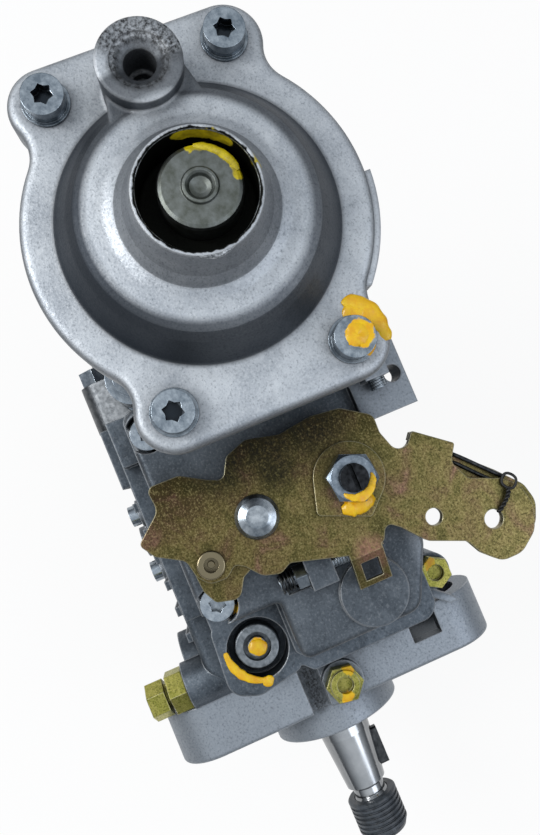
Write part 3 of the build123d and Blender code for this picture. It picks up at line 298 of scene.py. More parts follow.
def die_cast(name, pale, deep, stain, edge="dcdfe2", grain_mm=0.8, radius_mm=0.9, rough=0.46,
             stain_amount=0.35, shade_and_dirt=0.6, painted_wall_shade=0.4, glint=0.10, speck=0.4, metal=0.85, tower=False,
             lighter_band=None, paint=(), soot_and_shade=(), hues=(PAINT_DEEP, PAINT)):
    """Raw casting: two greys by soft noise, stain blots, pinholes, painted shade with soiling in the corners,
    edges that are rubbed bright and lightened further as a painted highlight, painted glints in the
    grain, and a sandy bump. The wall share darkens walls that face sideways, as painted shade. A
    lighter band = (hex, axis, low, high) is a lighter tone that sets in between two places on an
    axis, in mm."""
    material, tree, shader, where = start(name)
    flow = noise(tree, where, 14.0, detail=5.0, rough=0.6, distort=0.6)
    grain = noise(tree, where, grain_mm, detail=2.0, rough=0.7)
    base = mix(tree, span(tree, flow, 0.35, 0.65), deep, pale)
    blot = noise(tree, where, 5.0, detail=6.0, rough=0.7, distort=1.2)
    base = mix(tree, span(tree, blot, 0.54, 0.74, 0.0, stain_amount), base, stain)
    # a lighter tone between two places on one axis
    if lighter_band:
        lighter_tone, axis, low, high = lighter_band
        along = add(tree, "ShaderNodeSeparateXYZ", {0: where}).outputs[axis]
        base = mix(tree, span(tree, along, low * MM, high * MM, 0.0, 0.75), base, lighter_tone)
    base = mix(tree, span(tree, grain, 0.55, 0.72, 0.0, speck), base, stain)
    # painted glints: the lightest grains take the pale edge tone
    base = mix(tree, span(tree, grain, 0.46, 0.32, 0.0, glint), base, edge)
    # painted shade: faces turned away from straight up darken by the wall share, standing in for the dim
    # horizon they reflect
    facing = add(tree, "ShaderNodeNewGeometry").outputs["Normal"]
    facing_up = add(tree, "ShaderNodeSeparateXYZ", {0: facing}).outputs["Z"]
    base = mix(tree, span(tree, facing_up, 0.93, 0.60, 0.0, painted_wall_shade), base, "2a2d32")
    # painted shade with grime in corners and hollows, where the sky is hidden
    base = mix(tree, shade_and_grime(tree, where, 9.0, shade_and_dirt), base, "24272b")
    rounded = soft_edges(tree, radius_mm)
    # rubbed edges, lightened further as a painted highlight
    base = mix(tree, sums(tree, "MULTIPLY", edge_mask(tree, rounded), 0.62), base, edge)
    if tower:
        bore, trough = tower_painted_shade(tree, where)
        # painted shade: the trough turns dark grey and the bore nearly black
        base = mix(tree, sums(tree, "MULTIPLY", trough, 0.94), base, "2b3139")
        base = mix(tree, bore, base, "0d0f0b")
    shine = span(tree, grain, 0.2, 0.8, rough - 0.07, rough + 0.09)
    tree.links.new(shine, shader.inputs["Roughness"])
    hills = bump(tree, noise(tree, where, 2.2, detail=4.0), 0.35, 0.12, rounded)
    tree.links.new(bump(tree, grain, 0.6, 0.08, hills), shader.inputs["Normal"])
    lay_over(tree, shader, where, base, metal, paint, soot_and_shade, hues)
    return material


def ring_of(centre, z, radius, angles, size):
    """Spots of one size on a circle, at angles in degrees."""
    return [(centre[0] + radius * math.cos(math.radians(a)), centre[1] + radius * math.sin(math.radians(a)),
             z, size) for a in angles]


tower_paint = ring_of(TOWER, 147.6, 13.7, (132, 142, 152, 162, 172), 2.6) + [(-155.4, 27.0, 149.0, 2.0)]
# soot specks round the port's mouth
port_soot_and_bore_shade = ring_of(PORT, 143.0, 8.4, (95, 120, 150, 185, 215), 5.0)
# dark spots all round the port's inner groove
port_soot_and_bore_shade += ring_of(PORT, 142.4, 5.9, range(0, 360, 24), 2.4)
# painted shade: spots stacked down the port's bore darken its inside
port_soot_and_bore_shade += [(PORT[0], PORT[1], z, 6.2) for z in (131, 134, 137, 139)]
finishes = {
    "boost_cover": die_cast("die_cast_aluminium_bright", "d2d7dc", "b3b9c0", "6a7077", stain_amount=0.3,
                            shade_and_dirt=0.8, painted_wall_shade=0.6, glint=0.45, speck=0.5, grain_mm=0.55, radius_mm=1.6,
                            rough=0.55, tower=True, paint=tower_paint, soot_and_shade=port_soot_and_bore_shade,
                            hues=(OLD_PAINT_DEEP, OLD_PAINT)),
    "governor_cover": die_cast("die_cast_aluminium_cover", "676e75", "4f565d", "2a2e32", rough=0.5, shade_and_dirt=0.9,
                               # a lighter band along the cover's edge, from y 36 to 42 mm
                               lighter_band=("a4abb3", "Y", 36.0, 42.0),
                               paint=[(-56.2, -17.2, 81.0, 2.6), (-53.6, -17.6, 76.0, 2.4)]),
    "pump_housing": die_cast("die_cast_aluminium_housing", "707982", "525a62", "24272b", rough=0.5,
                             stain_amount=0.6, shade_and_dirt=0.95, painted_wall_shade=0.2, lighter_band=("aab1b9", "X", -24.0, -19.0),
                             # painted shade: dark spots along the floor of the slot in the flange
                             soot_and_shade=[(x, -5.4, 25.6, 5.0) for x in range(-22, 0, 4)],
                             paint=[(-35.5, 45.0, 40.0, 3.0)]),
    "timing_covers": die_cast("die_cast_aluminium_small", "9a9fa5", "7d8389", "44474b", shade_and_dirt=0.8),
}
print("castings:", len(finishes))

# %% [markdown]
# ## Plated and bare steel
# Screws are zinc plated: silvery, faintly blue, and slightly mottled. Shafts are ground, so fine rings run
# round them. Hardened inner parts are darker and oily. All are metals, so the colour is the colour of
# their reflection, and only roughness and a fine bump tell them apart. Where a screw's thread shows, a
# wave along the screw stands for its turns, 1.5 mm apart.
# %% Steel finishes
def steel(name, pale, deep, rough=0.3, mottle_mm=1.5, radius_mm=0.25, rings=None, thread=None, shade_and_dirt=0.5,
          bump_mm=0.01, paint=(), hues=(PAINT_DEEP, PAINT), other=(), painted_wall_shade=0.0):
    """Metal with two tones by noise; rings = (axis, pitch in mm) adds turning marks along that axis,
    thread = (axis, pitch in mm, low, high) adds thread turns between two places on it, and
    each (hex, spots) in other gives a second plating round some spots, or painted shade in a socket
    or a hole. The wall share darkens walls that face sideways, as painted shade standing in for the
    dim horizon they reflect."""
    material, tree, shader, where = start(name)
    spread = noise(tree, where, mottle_mm, detail=4.0, rough=0.6)
    base = mix(tree, span(tree, spread, 0.35, 0.68), deep, pale)
    for hue, spots in other:
        base = mix(tree, patches(tree, where, spots, 0.2), base, hue)
    # painted shade with grime in corners and hollows, where the sky is hidden
    base = mix(tree, shade_and_grime(tree, where, 3.0, shade_and_dirt), base, "1d1e20")
    # painted shade: faces turned away from straight up darken by the wall share, standing in for the dim
    # horizon they reflect
    if painted_wall_shade:
        facing = add(tree, "ShaderNodeNewGeometry").outputs["Normal"]
        facing_up = add(tree, "ShaderNodeSeparateXYZ", {0: facing}).outputs["Z"]
        base = mix(tree, span(tree, facing_up, 0.96, 0.62, 0.0, painted_wall_shade), base, "1a1c1f")
    normal = soft_edges(tree, radius_mm)
    shine = span(tree, noise(tree, where, mottle_mm * 2.5, detail=5.0), 0.3, 0.7, rough - 0.06, rough + 0.08)
    tree.links.new(shine, shader.inputs["Roughness"])
    if rings:
        axis, pitch_mm = rings
        split = add(tree, "ShaderNodeSeparateXYZ", {0: where}).outputs[axis]
        fine = add(tree, "ShaderNodeTexNoise", {"W": split, "Scale": 1 / (pitch_mm * MM), "Detail": 2.0},
                   noise_dimensions="1D").outputs["Fac"]
        normal = bump(tree, fine, 0.4, 0.01, normal)
    if thread:
        axis, pitch_mm, low, high = thread
        split = add(tree, "ShaderNodeSeparateXYZ", {0: where}).outputs[axis]
        turns = sums(tree, "SINE", sums(tree, "MULTIPLY", split, 2 * math.pi / (pitch_mm * MM)), 0.0)
        inside = sums(tree, "MULTIPLY", span(tree, split, low * MM, (low + 0.1) * MM),
                      span(tree, split, high * MM, (high - 0.1) * MM))
        normal = bump(tree, sums(tree, "MULTIPLY", turns, inside), 1.0, 0.35, normal)
    tree.links.new(bump(tree, spread, 0.3, bump_mm, normal), shader.inputs["Normal"])
    lay_over(tree, shader, where, base, 1.0, paint, hues=hues)
    return material


# painted shade on the socket floors of the four cover screws
socket_shade_spots = [(TOWER[0] + i * 41.0, TOWER[1] + j * 24.0, 130.4, 2.7) for i in (-1, 1) for j in (-1, 1)]
screw_paint = [(-112.6, 36.4, 132.4, 3.8), (-109.5, 38.6, 129.5, 2.4), (-116.0, 39.0, 130.0, 2.4)]
cap_paint = ring_of((-155.1, 13.1), 146.6, 9.4, (88, 100, 112, 124, 136, 148, 160, 172), 1.7)
finishes.update({
    "silver_zinc": steel("silver_zinc_plate", "bec7cf", "929da8", rough=0.2, mottle_mm=2.0, bump_mm=0.03,
                         painted_wall_shade=0.4),
    "boost_cover_screws": steel("silver_zinc_plate_painted", "b9c3cc", "7e8a95", rough=0.16, mottle_mm=2.0,
                                shade_and_dirt=1.0, bump_mm=0.06, paint=screw_paint, painted_wall_shade=0.6,
                                other=[("3a4148", socket_shade_spots)]),
    "lever_rivets": steel("silver_zinc_plate_rivet", "ccd3d9", "7d8790", rough=0.24, mottle_mm=3.0,
                          other=[("8b8168", [(-71.8, -19.2, 96.0, 5.4)]),
                                 # painted shade in the eyelet's hole
                                 ("14130f", [(-71.8, -19.2, 96.6, 1.4)])]),
    "delivery_valve_holders": steel("silver_zinc_plate_threaded", "b4bac0", "8d949b", rough=0.33,
                                    thread=("X", 1.5, -199.6, -182.0)),
    "lever_nut": steel("blue_zinc_plate_nut", "a7b3bf", "76828e", rough=0.28, shade_and_dirt=0.7),
    "bright_steel": steel("ground_steel", "cfd1d3", "bcbfc2", rough=0.14, mottle_mm=7.0, rings=("X", 0.5),
                          painted_wall_shade=0.55),
    "dark_steel": steel("hardened_oiled_steel", "5c5e60", "36383a", rough=0.36, mottle_mm=3.0),
    "throttle_shaft": steel("black_oxide_steel", "3b3d40", "1c1d1f", rough=0.34),
    "head_steel": steel("turned_steel_head", "6d7073", "4c4f52", rough=0.36, rings=("X", 0.7), shade_and_dirt=0.8),
    "spring_steel": steel("drawn_spring_wire", "515355", "2b2d2e", rough=0.33),
    "bronze": steel("sintered_bronze", "b98b4f", "8a6334", rough=0.42, mottle_mm=0.8),
    "tower_cap": steel("pressed_steel_cap", "858a88", "62665f", rough=0.42, mottle_mm=3.0, shade_and_dirt=0.8,
                       paint=cap_paint, hues=(OLD_PAINT_DEEP, OLD_PAINT)),
    "inlet_screw": steel("silver_zinc_plate_inlet", "9aa0a5", "6d7378", rough=0.36, shade_and_dirt=0.9,
                         paint=[(-37.7, -17.4, 59.5, 3.0)]),
})
print("finishes so far:", len(finishes))

# %% [markdown]
# ## Yellow chromated zinc
# The throttle lever is zinc plated and then dipped in chromate, which leaves a film that shifts between
# straw, olive, pink and green like oil on water. The shift comes from slow noise through a ramp of those
# hues; a fine speckle keeps it from looking airbrushed. The film is brown and thick at the wing of the
# lever and pale, almost pink, at the end of its arm, so a second ramp runs along Y. A third ramp, along
# X, and dark patches at the lever's rear edge paint the shadow under the boost cover.
# %% Yellow chromate
def chromate(name, hues, rough=0.36, speckle="2c2a17", cloud_mm=11.0, radius_mm=0.55, tints_and_painted_shadow=(), shade_and_dirt=0.7,
             paint=(), stains_and_painted_shadow=()):
    """Iridescent plate: hues over slow noise, dark speckle, painted glint specks, painted shade with soiling
    in the hollows, a light hammered bump, and edges that are rubbed bright and lightened further as a
    painted highlight. Each tint = (axis, hex below low, hex above high, low, high), in mm, multiplies the
    colour, as a tone of the film or as painted shadow, and each stain = (hex, spots) lies softly round
    its spots, as a mark of the film or as painted shadow."""
    material, tree, shader, where = start(name)
    cloud = noise(tree, where, cloud_mm, detail=4.0, rough=0.55, distort=0.9)
    ramp = add(tree, "ShaderNodeValToRGB", {"Fac": span(tree, cloud, 0.30, 0.70)})
    stops = ramp.color_ramp.elements
    stops.remove(stops[1])
    stops[0].color = linear(hues[0])
    for place, hue in enumerate(hues[1:], 1):
        stops.new(place / (len(hues) - 1)).color = linear(hue)
    base = ramp.outputs["Color"]
    for axis, low_hue, high_hue, low, high in tints_and_painted_shadow:
        split = add(tree, "ShaderNodeSeparateXYZ", {0: where}).outputs[axis]
        wash = mix(tree, span(tree, split, low * MM, high * MM), low_hue, high_hue)
        made = add(tree, "ShaderNodeMix", data_type="RGBA", blend_type="MULTIPLY")
        made.inputs[0].default_value = 1.0
        tree.links.new(base, made.inputs[6])
        tree.links.new(wash, made.inputs[7])
        base = made.outputs[2]
    grit = noise(tree, where, 0.55, detail=3.0, rough=0.75)
    base = mix(tree, span(tree, grit, 0.50, 0.64, 0.0, 0.72), base, speckle)
    # painted glints: the lightest grains turn pale straw
    base = mix(tree, span(tree, grit, 0.47, 0.33, 0.0, 0.42), base, "c0b27c")
    for hue, spots in stains_and_painted_shadow:
        base = mix(tree, soft_patches(tree, where, spots), base, hue)
    # painted shade with grime in corners and hollows, where the sky is hidden
    base = mix(tree, shade_and_grime(tree, where, 4.0, shade_and_dirt), base, "15140d")
    rounded = soft_edges(tree, radius_mm)
    # rubbed edges, lightened further as a painted highlight
    base = mix(tree, sums(tree, "MULTIPLY", edge_mask(tree, rounded), 0.8), base, "e6dfbd")
    tree.links.new(span(tree, grit, 0.3, 0.7, rough - 0.05, rough + 0.1), shader.inputs["Roughness"])
    tree.links.new(bump(tree, grit, 0.4, 0.03, rounded), shader.inputs["Normal"])
    lay_over(tree, shader, where, base, 0.9, paint)
    return material


plug_paint = [(-13.1, 8.4, 38.0, 2.6), (-3.9, 4.4, 38.0, 2.4), (-36.8, 47.6, 48.4, 2.4)]
finishes.update({
    "yellow_zinc": chromate("yellow_chromate_lever", ["605f39", "727145", "888255", "7c6f50", "9b7f6e"],
                            tints_and_painted_shadow=[("Y", "dccdc4", "fff2ea", -20.0, 62.0),
                                   # painted shadow: a ramp along X darkens the lever's rear edge under the
                                   # boost cover
                                   ("X", "7d776a", "ffffff", -99.0, -80.0)],
                            # painted shadow: dark patches along the rear edge; the pink patch is a tone of
                            # the film
                            stains_and_painted_shadow=[("24221a", [(-98, -6, 95.5, 13), (-99, 8, 95.5, 15), (-98, 22, 96, 14),
                                                (-90, 8, 95.5, 9)]),
                                    ("b47f74", [(-57.5, 24.0, 91.0, 7.5)])]),
    "fitting_zinc": chromate("yellow_chromate_fitting", ["86873a", "a19f4a", "b6b05c", "8c8b40"],
                             cloud_mm=6.0, paint=plug_paint),
})
print("chromated:", finishes["yellow_zinc"].name)

# %% [markdown]
# ## Plastic, rubber, fibre and lacquer
# The thread protector is moulded polyethylene, waxy and scuffed. Seals and diaphragm are moulded rubber,
# the gasket is pressed fibre, and the marks are a thick yellow lacquer that pools and shines. None is a
# metal, so their colour is their own and their shine is weak.
# %% Plastic, rubber, fibre, lacquer
def moulded(name, pale, deep, rough=0.5, grain_mm=0.8, radius_mm=0.3, coat=0.0, bump_mm=0.04):
    """Plastic, rubber or lacquer: two close tones, scuffs in the roughness, fine bump."""
    material, tree, shader, where = start(name)
    scuff = noise(tree, where, grain_mm * 4, detail=5.0, rough=0.7)
    base = mix(tree, span(tree, scuff, 0.35, 0.65), deep, pale)
    tree.links.new(base, shader.inputs["Base Color"])
    tree.links.new(span(tree, scuff, 0.3, 0.7, rough - 0.08, rough + 0.1), shader.inputs["Roughness"])
    grain = noise(tree, where, grain_mm, detail=2.0)
    tree.links.new(bump(tree, grain, 0.4, bump_mm, soft_edges(tree, radius_mm)), shader.inputs["Normal"])
    shader.inputs["Coat Weight"].default_value = coat
    return material


finishes.update({
    "grey_plastic": moulded("moulded_polyethylene_grey", "4a5057", "2d3135", rough=0.40),
    "black_rubber": moulded("moulded_nitrile_rubber", "202122", "121213", rough=0.6),
    "gasket": moulded("pressed_fibre_gasket", "2d2d2c", "1b1b1a", rough=0.75, grain_mm=0.4),
})
lacquer = moulded("yellow_marking_lacquer", PAINT, PAINT_DEEP, rough=0.36, grain_mm=0.7, coat=0.25)
old_lacquer = moulded("old_marking_lacquer", OLD_PAINT, OLD_PAINT_DEEP, rough=0.42, grain_mm=0.5, coat=0.1)
seal_wire = moulded("black_coated_seal_wire", "1c1c1d", "0f0f10", rough=0.5, grain_mm=0.5)
print("all finishes:", len(finishes) + 3)

# %% [markdown]
# ## Every part gets its finish
# The record names a material slot for each part. A few parts have a finish of their own, which is looked
# up first by the part's name.
# %% Give each node its finish
slots = {part["node"]: part["material_slot"] for part in frame["record"]["subparts"]}
for node_name, node in cad_nodes.items():
    node.data.materials.clear()
    node.data.materials.append(finishes.get(node_name) or finishes[slots[node_name]])
    for face in node.data.polygons:
        face.material_index = 0
print("dressed:", len(cad_nodes))

# %% [markdown]
# ## Surfaces from numbers
# The small pieces that follow are skins stretched over rings of points: each ring has as many points as
# the next, so the faces between them are known without thinking. A ring of points is cheap to work out
# with numpy, all points at once. Two ends are closed by a point each, or the last ring joins the first.
# %% A skin over rings of points
def skin(name, rings, ends, material, body):
    """Mesh over rings[n, m, 3] in mm. Faces join ring i with i + 1 and point j with j + 1 (mod m). ends is
    a pair of closing points, or None for a loop. The signed volume, a sixth of the sum of a . (b x c)
    over the triangles, must be positive, and if it isn't, every face is turned round."""
    n, m = rings.shape[:2]
    i, j = np.meshgrid(np.arange(n if ends is None else n - 1), np.arange(m), indexing="ij")
    after, beside = (i + 1) % n, (j + 1) % m
    quads = np.stack([i * m + j, i * m + beside, after * m + beside, after * m + j], -1).reshape(-1, 4)
    points = rings.reshape(-1, 3)
    faces = quads.tolist()
    triangles = np.concatenate([quads[:, [0, 1, 2]], quads[:, [0, 2, 3]]])
    if ends is not None:
        points = np.vstack([points, ends])
        near, far = np.arange(m), (n - 1) * m + np.arange(m)
        first = np.stack([np.full(m, n * m), np.roll(near, -1), near], -1)
        last = np.stack([np.full(m, n * m + 1), far, np.roll(far, -1)], -1)
        faces += first.tolist() + last.tolist()
        triangles = np.vstack([triangles, first, last])
    a, b, c = (points[triangles[:, k]] for k in range(3))
    if np.einsum("ij,ij->", a, np.cross(b, c)) < 0:
        faces = [face[::-1] for face in faces]
    mesh = bpy.data.meshes.new(name)
    mesh.from_pydata((points * MM).tolist(), [], faces)
    mesh.polygons.foreach_set("use_smooth", np.ones(len(faces), bool))
    mesh.materials.append(material)
    mesh.update()
    piece = bpy.data.objects.new(name, mesh)
    bpy.context.scene.collection.objects.link(piece)
    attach(piece, body)
    return piece


def around(count):
    """Evenly spaced angles of one full turn."""
    return np.linspace(0, 2 * np.pi, count, endpoint=False)


def tube(name, path, radius, up, material, body, sides=12, loop=False):
    """Round tube along path[n, 3]. At each point the ring is spanned by two directions square to the
    path: side = up x tangent, and over = tangent x side."""
    tangent = (np.roll(path, -1, 0) - np.roll(path, 1, 0)) if loop else np.gradient(path, axis=0)
    tangent /= np.linalg.norm(tangent, axis=1, keepdims=True)
    side = np.cross(np.asarray(up, float), tangent)
    side /= np.linalg.norm(side, axis=1, keepdims=True)
    over = np.cross(tangent, side)
    angle = around(sides)[None, :, None]
    rings = path[:, None] + radius * (np.cos(angle) * side[:, None] + np.sin(angle) * over[:, None])
    ends = None if loop else path[[0, -1]] + tangent[[0, -1]] * [[-0.4 * radius], [0.4 * radius]]
    return skin(name, rings, ends, material, body)


def bezier(points, count):
    """Curve through the first and last point, pulled by the others: the sum of points weighted by the
    Bernstein polynomials C(n, k) t^k (1 - t)^(n - k)."""
    points = np.asarray(points, float)
    n = len(points) - 1
    t = np.linspace(0, 1, count)[:, None]
    k = np.arange(n + 1)
    weights = np.array([math.comb(n, j) for j in k]) * t ** k * (1 - t) ** (n - k)
    return weights @ points


print("surface helpers ready")

# %% [markdown]
# ## Screw threads
# The stop screws stick out of the cover on both sides of their bosses. A thread is a tube whose radius
# rises and falls once per pitch, with the wave shifted by the angle, so that it climbs like a real helix.
# A bump in the material would do from afar, but the outline of a screw against the light shows teeth.
# %% Threads on the stop screws
def thread(name, start_at, axis, length, root, crest, pitch, body):
    """Radius = root + (crest - root) * |2 * frac(s / pitch - angle / 2 pi) - 1|, faded out at both ends."""
    axis = np.asarray(axis, float)
    first = np.cross(axis, [0.3, 0.5, 0.8])
    first /= np.linalg.norm(first)
    second = np.cross(axis, first)
    s = np.linspace(0, length, int(length / pitch * 10))[:, None]
    angle = around(40)[None, :]
    wave = np.abs(2 * ((s / pitch - angle / (2 * np.pi)) % 1) - 1)
    fade = np.clip(np.minimum(s, length - s) / (0.4 * pitch), 0, 1)
    radius = (root + (crest - root) * wave * fade)[..., None]
    ring = np.cos(angle)[..., None] * first + np.sin(angle)[..., None] * second
    centre = np.asarray(start_at, float) + s[..., None] * axis
    ends = [centre[0, 0], centre[-1, 0]]
    return skin(name, centre + radius * ring, ends, finishes["silver_zinc"], body)


threads = [
    thread("idle_screw_thread_tip", (-57.9, 13.2, 87.0), (0, 1, 0), 5.9, 2.2, 2.5, 0.8, "housing"),
    thread("idle_screw_thread_tail", (-57.9, -3.4, 87.0), (0, 1, 0), 4.8, 2.2, 2.5, 0.8, "housing"),
    thread("full_load_screw_thread_tip", (-102.4, 45.5, 91.8), (1, 0, 0), 2.8, 2.4, 2.7, 0.8, "housing"),
    thread("full_load_screw_thread_tail", (-118.9, 45.5, 91.8), (1, 0, 0), 2.2, 2.4, 2.7, 0.8, "housing"),
]
print("thread faces:", sum(len(piece.data.polygons) for piece in threads))

# %% [markdown]
# ## The burr on the tower
# The tower was bored after casting, and the cutter left a thin ragged lip round the rim. It is a ring
# whose height and width wander with the angle, as sums of sines, and it is torn wide on one side.
# %% Burr
def wander(angle, seed, waves):
    """Sum of sines with 1, 2, 3 ... waves per turn, random phases and heights that fall as 1 / waves."""
    dice = np.random.default_rng(seed)
    k = np.arange(1, waves + 1)[:, None]
    phase = dice.uniform(0, 2 * np.pi, (waves, 1))
    height = dice.uniform(0.4, 1.0, (waves, 1)) / np.sqrt(k)
    return (height * np.sin(k * angle[None] + phase)).sum(0) / np.sqrt(waves)


BURR_RADIUS, BURR_TOP = 13.85, 150.28
turn_angle = around(240)
torn = np.exp(-(np.sin((turn_angle + 0.10) / 2) / 0.16) ** 2)
tatters = 0.60 * torn * (1 + 0.5 * wander(turn_angle, 7, 30))
lip_width = np.maximum(0.30 + 0.12 * wander(turn_angle, 3, 22) + tatters, 0.1)
lip_height = np.maximum(0.40 + 0.2 * wander(turn_angle, 5, 26), 0.1) + 0.2 * torn
section = around(10)
burr_radius = BURR_RADIUS + 0.10 * wander(turn_angle, 9, 14) + 0.95 * torn
out = burr_radius[:, None] + np.cos(section) * lip_width[:, None]
burr = np.stack([TOWER[0] + out * np.cos(turn_angle)[:, None], TOWER[1] + out * np.sin(turn_angle)[:, None],
                 BURR_TOP - lip_height[:, None] * (1 - np.sin(section))], -1)
burr_finish = steel("torn_bright_aluminium", "d6d9dc", "5d6165", rough=0.3, mottle_mm=0.6, shade_and_dirt=0.2,
                    bump_mm=0.3)
skin("tower_burr", burr, None, burr_finish, "housing")
print("burr height in mm:", round(float(lip_height.min()), 2), "to", round(float(lip_height.max()), 2))

# %% [markdown]
# ## Marking lacquer
# A fitter marks every screw that has been set with a dab of thick yellow lacquer. A dab is a low dome
# with a wandering outline; a brush stroke is a flat-bottomed bead along a curve that thins at its ends.
# %% Dabs and strokes
def dab(name, x, y, z, radius, height, seed, body):
    """Dome with outline radius * (1 + 0.22 * wander) and height * (1 - r^2)^0.6, closed just below z."""
    angle = around(48)
    outline = radius * (1 + 0.22 * wander(angle, seed, 6))
    r = np.array([0.12, 0.3, 0.5, 0.68, 0.82, 0.92, 0.98, 1.0, 0.97])
    top = np.append(height * (1 - r[:-1] ** 2) ** 0.6, -0.12)
    lumps = 1 + 0.18 * wander(angle, seed + 1, 4)
    reach = r[:, None] * outline
    rings = np.stack([x + reach * np.cos(angle), y + reach * np.sin(angle),
                      z + top[:, None] * np.where(top[:, None] > 0, lumps, 1)], -1)
    return skin(name, rings, [(x, y, z + height), (x, y, z - 0.12)], lacquer, body)


def stroke(name, points, width, height, seed, body, material=lacquer):
    """Bead along a Bezier curve: half width w(t) = width * (sin pi t)^0.35 * (1 + wander), and a
    cross-section (w cos a, h sin a) whose lower half is cut off just below the surface."""
    path = bezier(points, 60)
    t = np.linspace(0.02, 0.98, 60)
    half = 0.5 * width * np.sin(np.pi * t) ** 0.35 * (1 + 0.2 * wander(2 * np.pi * t, seed, 7))
    tall = height * np.sin(np.pi * t) ** 0.5 * (1 + 0.25 * wander(2 * np.pi * t, seed + 1, 5))
    tangent = np.gradient(path, axis=0)
    side = np.stack([-tangent[:, 1], tangent[:, 0], np.zeros(60)], -1)
    side /= np.linalg.norm(side, axis=1, keepdims=True)
    angle = around(16)
    lift = np.maximum(tall[:, None] * np.sin(angle), -0.12)
    rings = path[:, None] + side[:, None] * (half[:, None] * np.cos(angle))[..., None]
    rings[..., 2] += lift
    return skin(name, rings, [path[0], path[-1]], material, body)


def nut_coat(name, cx, cy, foot, top, low, high, seed, body):
    """Coat over part of a nut, from the angle low to high in degrees. Its section goes out over the face
    and falls down the flats as top - drop * (1 - cos(pi s)) / 2, and its wander and the envelope
    sin(pi t)^0.4 sink both ends into the steel."""
    t = np.linspace(0.0, 1.0, 72)
    angle = np.radians(low + (high - low) * t)
    thick = np.sin(np.pi * np.clip(t, 0.01, 0.99)) ** 0.4
    crown = top - 0.15 + thick * (0.85 + 0.30 * wander(2 * np.pi * t, seed, 8))
    skirt = 6.3 + thick * (1.6 + 0.45 * wander(2 * np.pi * t, seed + 1, 6))
    rim = 4.25 + 0.8 * (1 - thick) + 0.35 * np.abs(wander(2 * np.pi * t, seed + 2, 9))
    s = np.linspace(0.0, 1.0, 15)
    over = [(rim + (skirt - 1.2 - rim) * u, crown + 0.12 * np.sin(np.pi * u)) for u in s[:-1]]
    down = [(skirt - 1.2 * np.cos(np.pi * u / 2), crown - (crown - foot + 0.15) * (1 - np.cos(np.pi * u)) / 2)
            for u in s]
    under = [(np.full(72, 5.0), np.full(72, foot - 0.15)), (np.full(72, 5.0), np.full(72, top - 0.4)),
             (rim, np.full(72, top - 0.4))]
    out = np.array([pair[0] for pair in over + down + under]).T
    up = np.array([pair[1] for pair in over + down + under]).T
    rings = np.stack([cx + out * np.cos(angle)[:, None], cy + out * np.sin(angle)[:, None], up], -1)
    return skin(name, rings, [rings[0].mean(0), rings[-1].mean(0)], lacquer, body)


def arc(cx, cy, z, radius, low, high, count=6):
    """Points on a circle between two angles in degrees."""
    a = np.radians(np.linspace(low, high, count))
    return np.stack([cx + radius * np.cos(a), cy + radius * np.sin(a), np.full(count, z)], -1)


marks = [
    dab("lacquer_screw_head", -112.6, 35.8, 132.6, 3.3, 0.9, 21, "housing"),
    stroke("lacquer_screw_smear", [(-121.0, 36.6, 127.7), (-122.4, 41.0, 127.8), (-114.0, 44.2, 127.2),
                                   (-109.0, 43.6, 127.4)], 5.2, 1.1, 31, "housing"),
    dab("lacquer_screw_foot", -119.0, 39.2, 127.8, 3.2, 0.8, 33, "housing"),
    nut_coat("lacquer_lever_nut", -79.2, 26.2, 96.85, 103.34, -54, 84, 41, "throttle"),
    stroke("lacquer_lever_nut_pool", [(-71.5, 20.6, 96.85), (-71.0, 24.0, 96.85), (-71.0, 27.0, 96.85),
                                      (-71.6, 30.6, 96.85)], 5.4, 1.5, 47, "throttle"),
    stroke("lacquer_inlet_rim", arc(-37.7, -17.4, 62.0, 10.5, 254, 358), 2.9, 0.55, 51, "housing"),
    dab("lacquer_inlet_foot", -26.9, -18.4, 62.0, 1.9, 0.6, 53, "housing"),
    dab("lacquer_inlet_screw", -37.2, -17.3, 59.3, 2.9, 0.7, 55, "housing"),
    stroke("lacquer_tower_cap", arc(-155.1, 13.1, 146.7, 9.3, 168, 92), 2.2, 0.7, 61, "housing",
           old_lacquer),
]
print("lacquer marks:", len(marks))

# %% [markdown]
# ## Seal wire and spring wires
# A thin black wire is threaded through the lever's end and twisted into a loop, as a seal. Two strands
# that wind round a common line make the twist. The return spring's legs run along the arm as bare wire.
# %% Wires
def twisted(name, points, radius, spread, turns, body):
    """Two tubes, each a Bezier curve plus a circle of size spread round it, half a turn apart."""
    line = bezier(points, 120)
    phase = np.linspace(0, 2 * np.pi * turns, 120)
    pieces = []
    for k, shift in enumerate((0, np.pi)):
        tangent = np.gradient(line, axis=0)
        side = np.stack([-tangent[:, 1], tangent[:, 0], np.zeros(120)], -1)
        side /= np.linalg.norm(side, axis=1, keepdims=True)
        swing = np.cos(phase + shift)[:, None] * side + np.sin(phase + shift)[:, None] * [0, 0, 1]
        path = line + spread * swing
        pieces.append(tube(f"{name}_{k + 1}", path, radius, (0, 0, 1), seal_wire, body, 8))
    return pieces


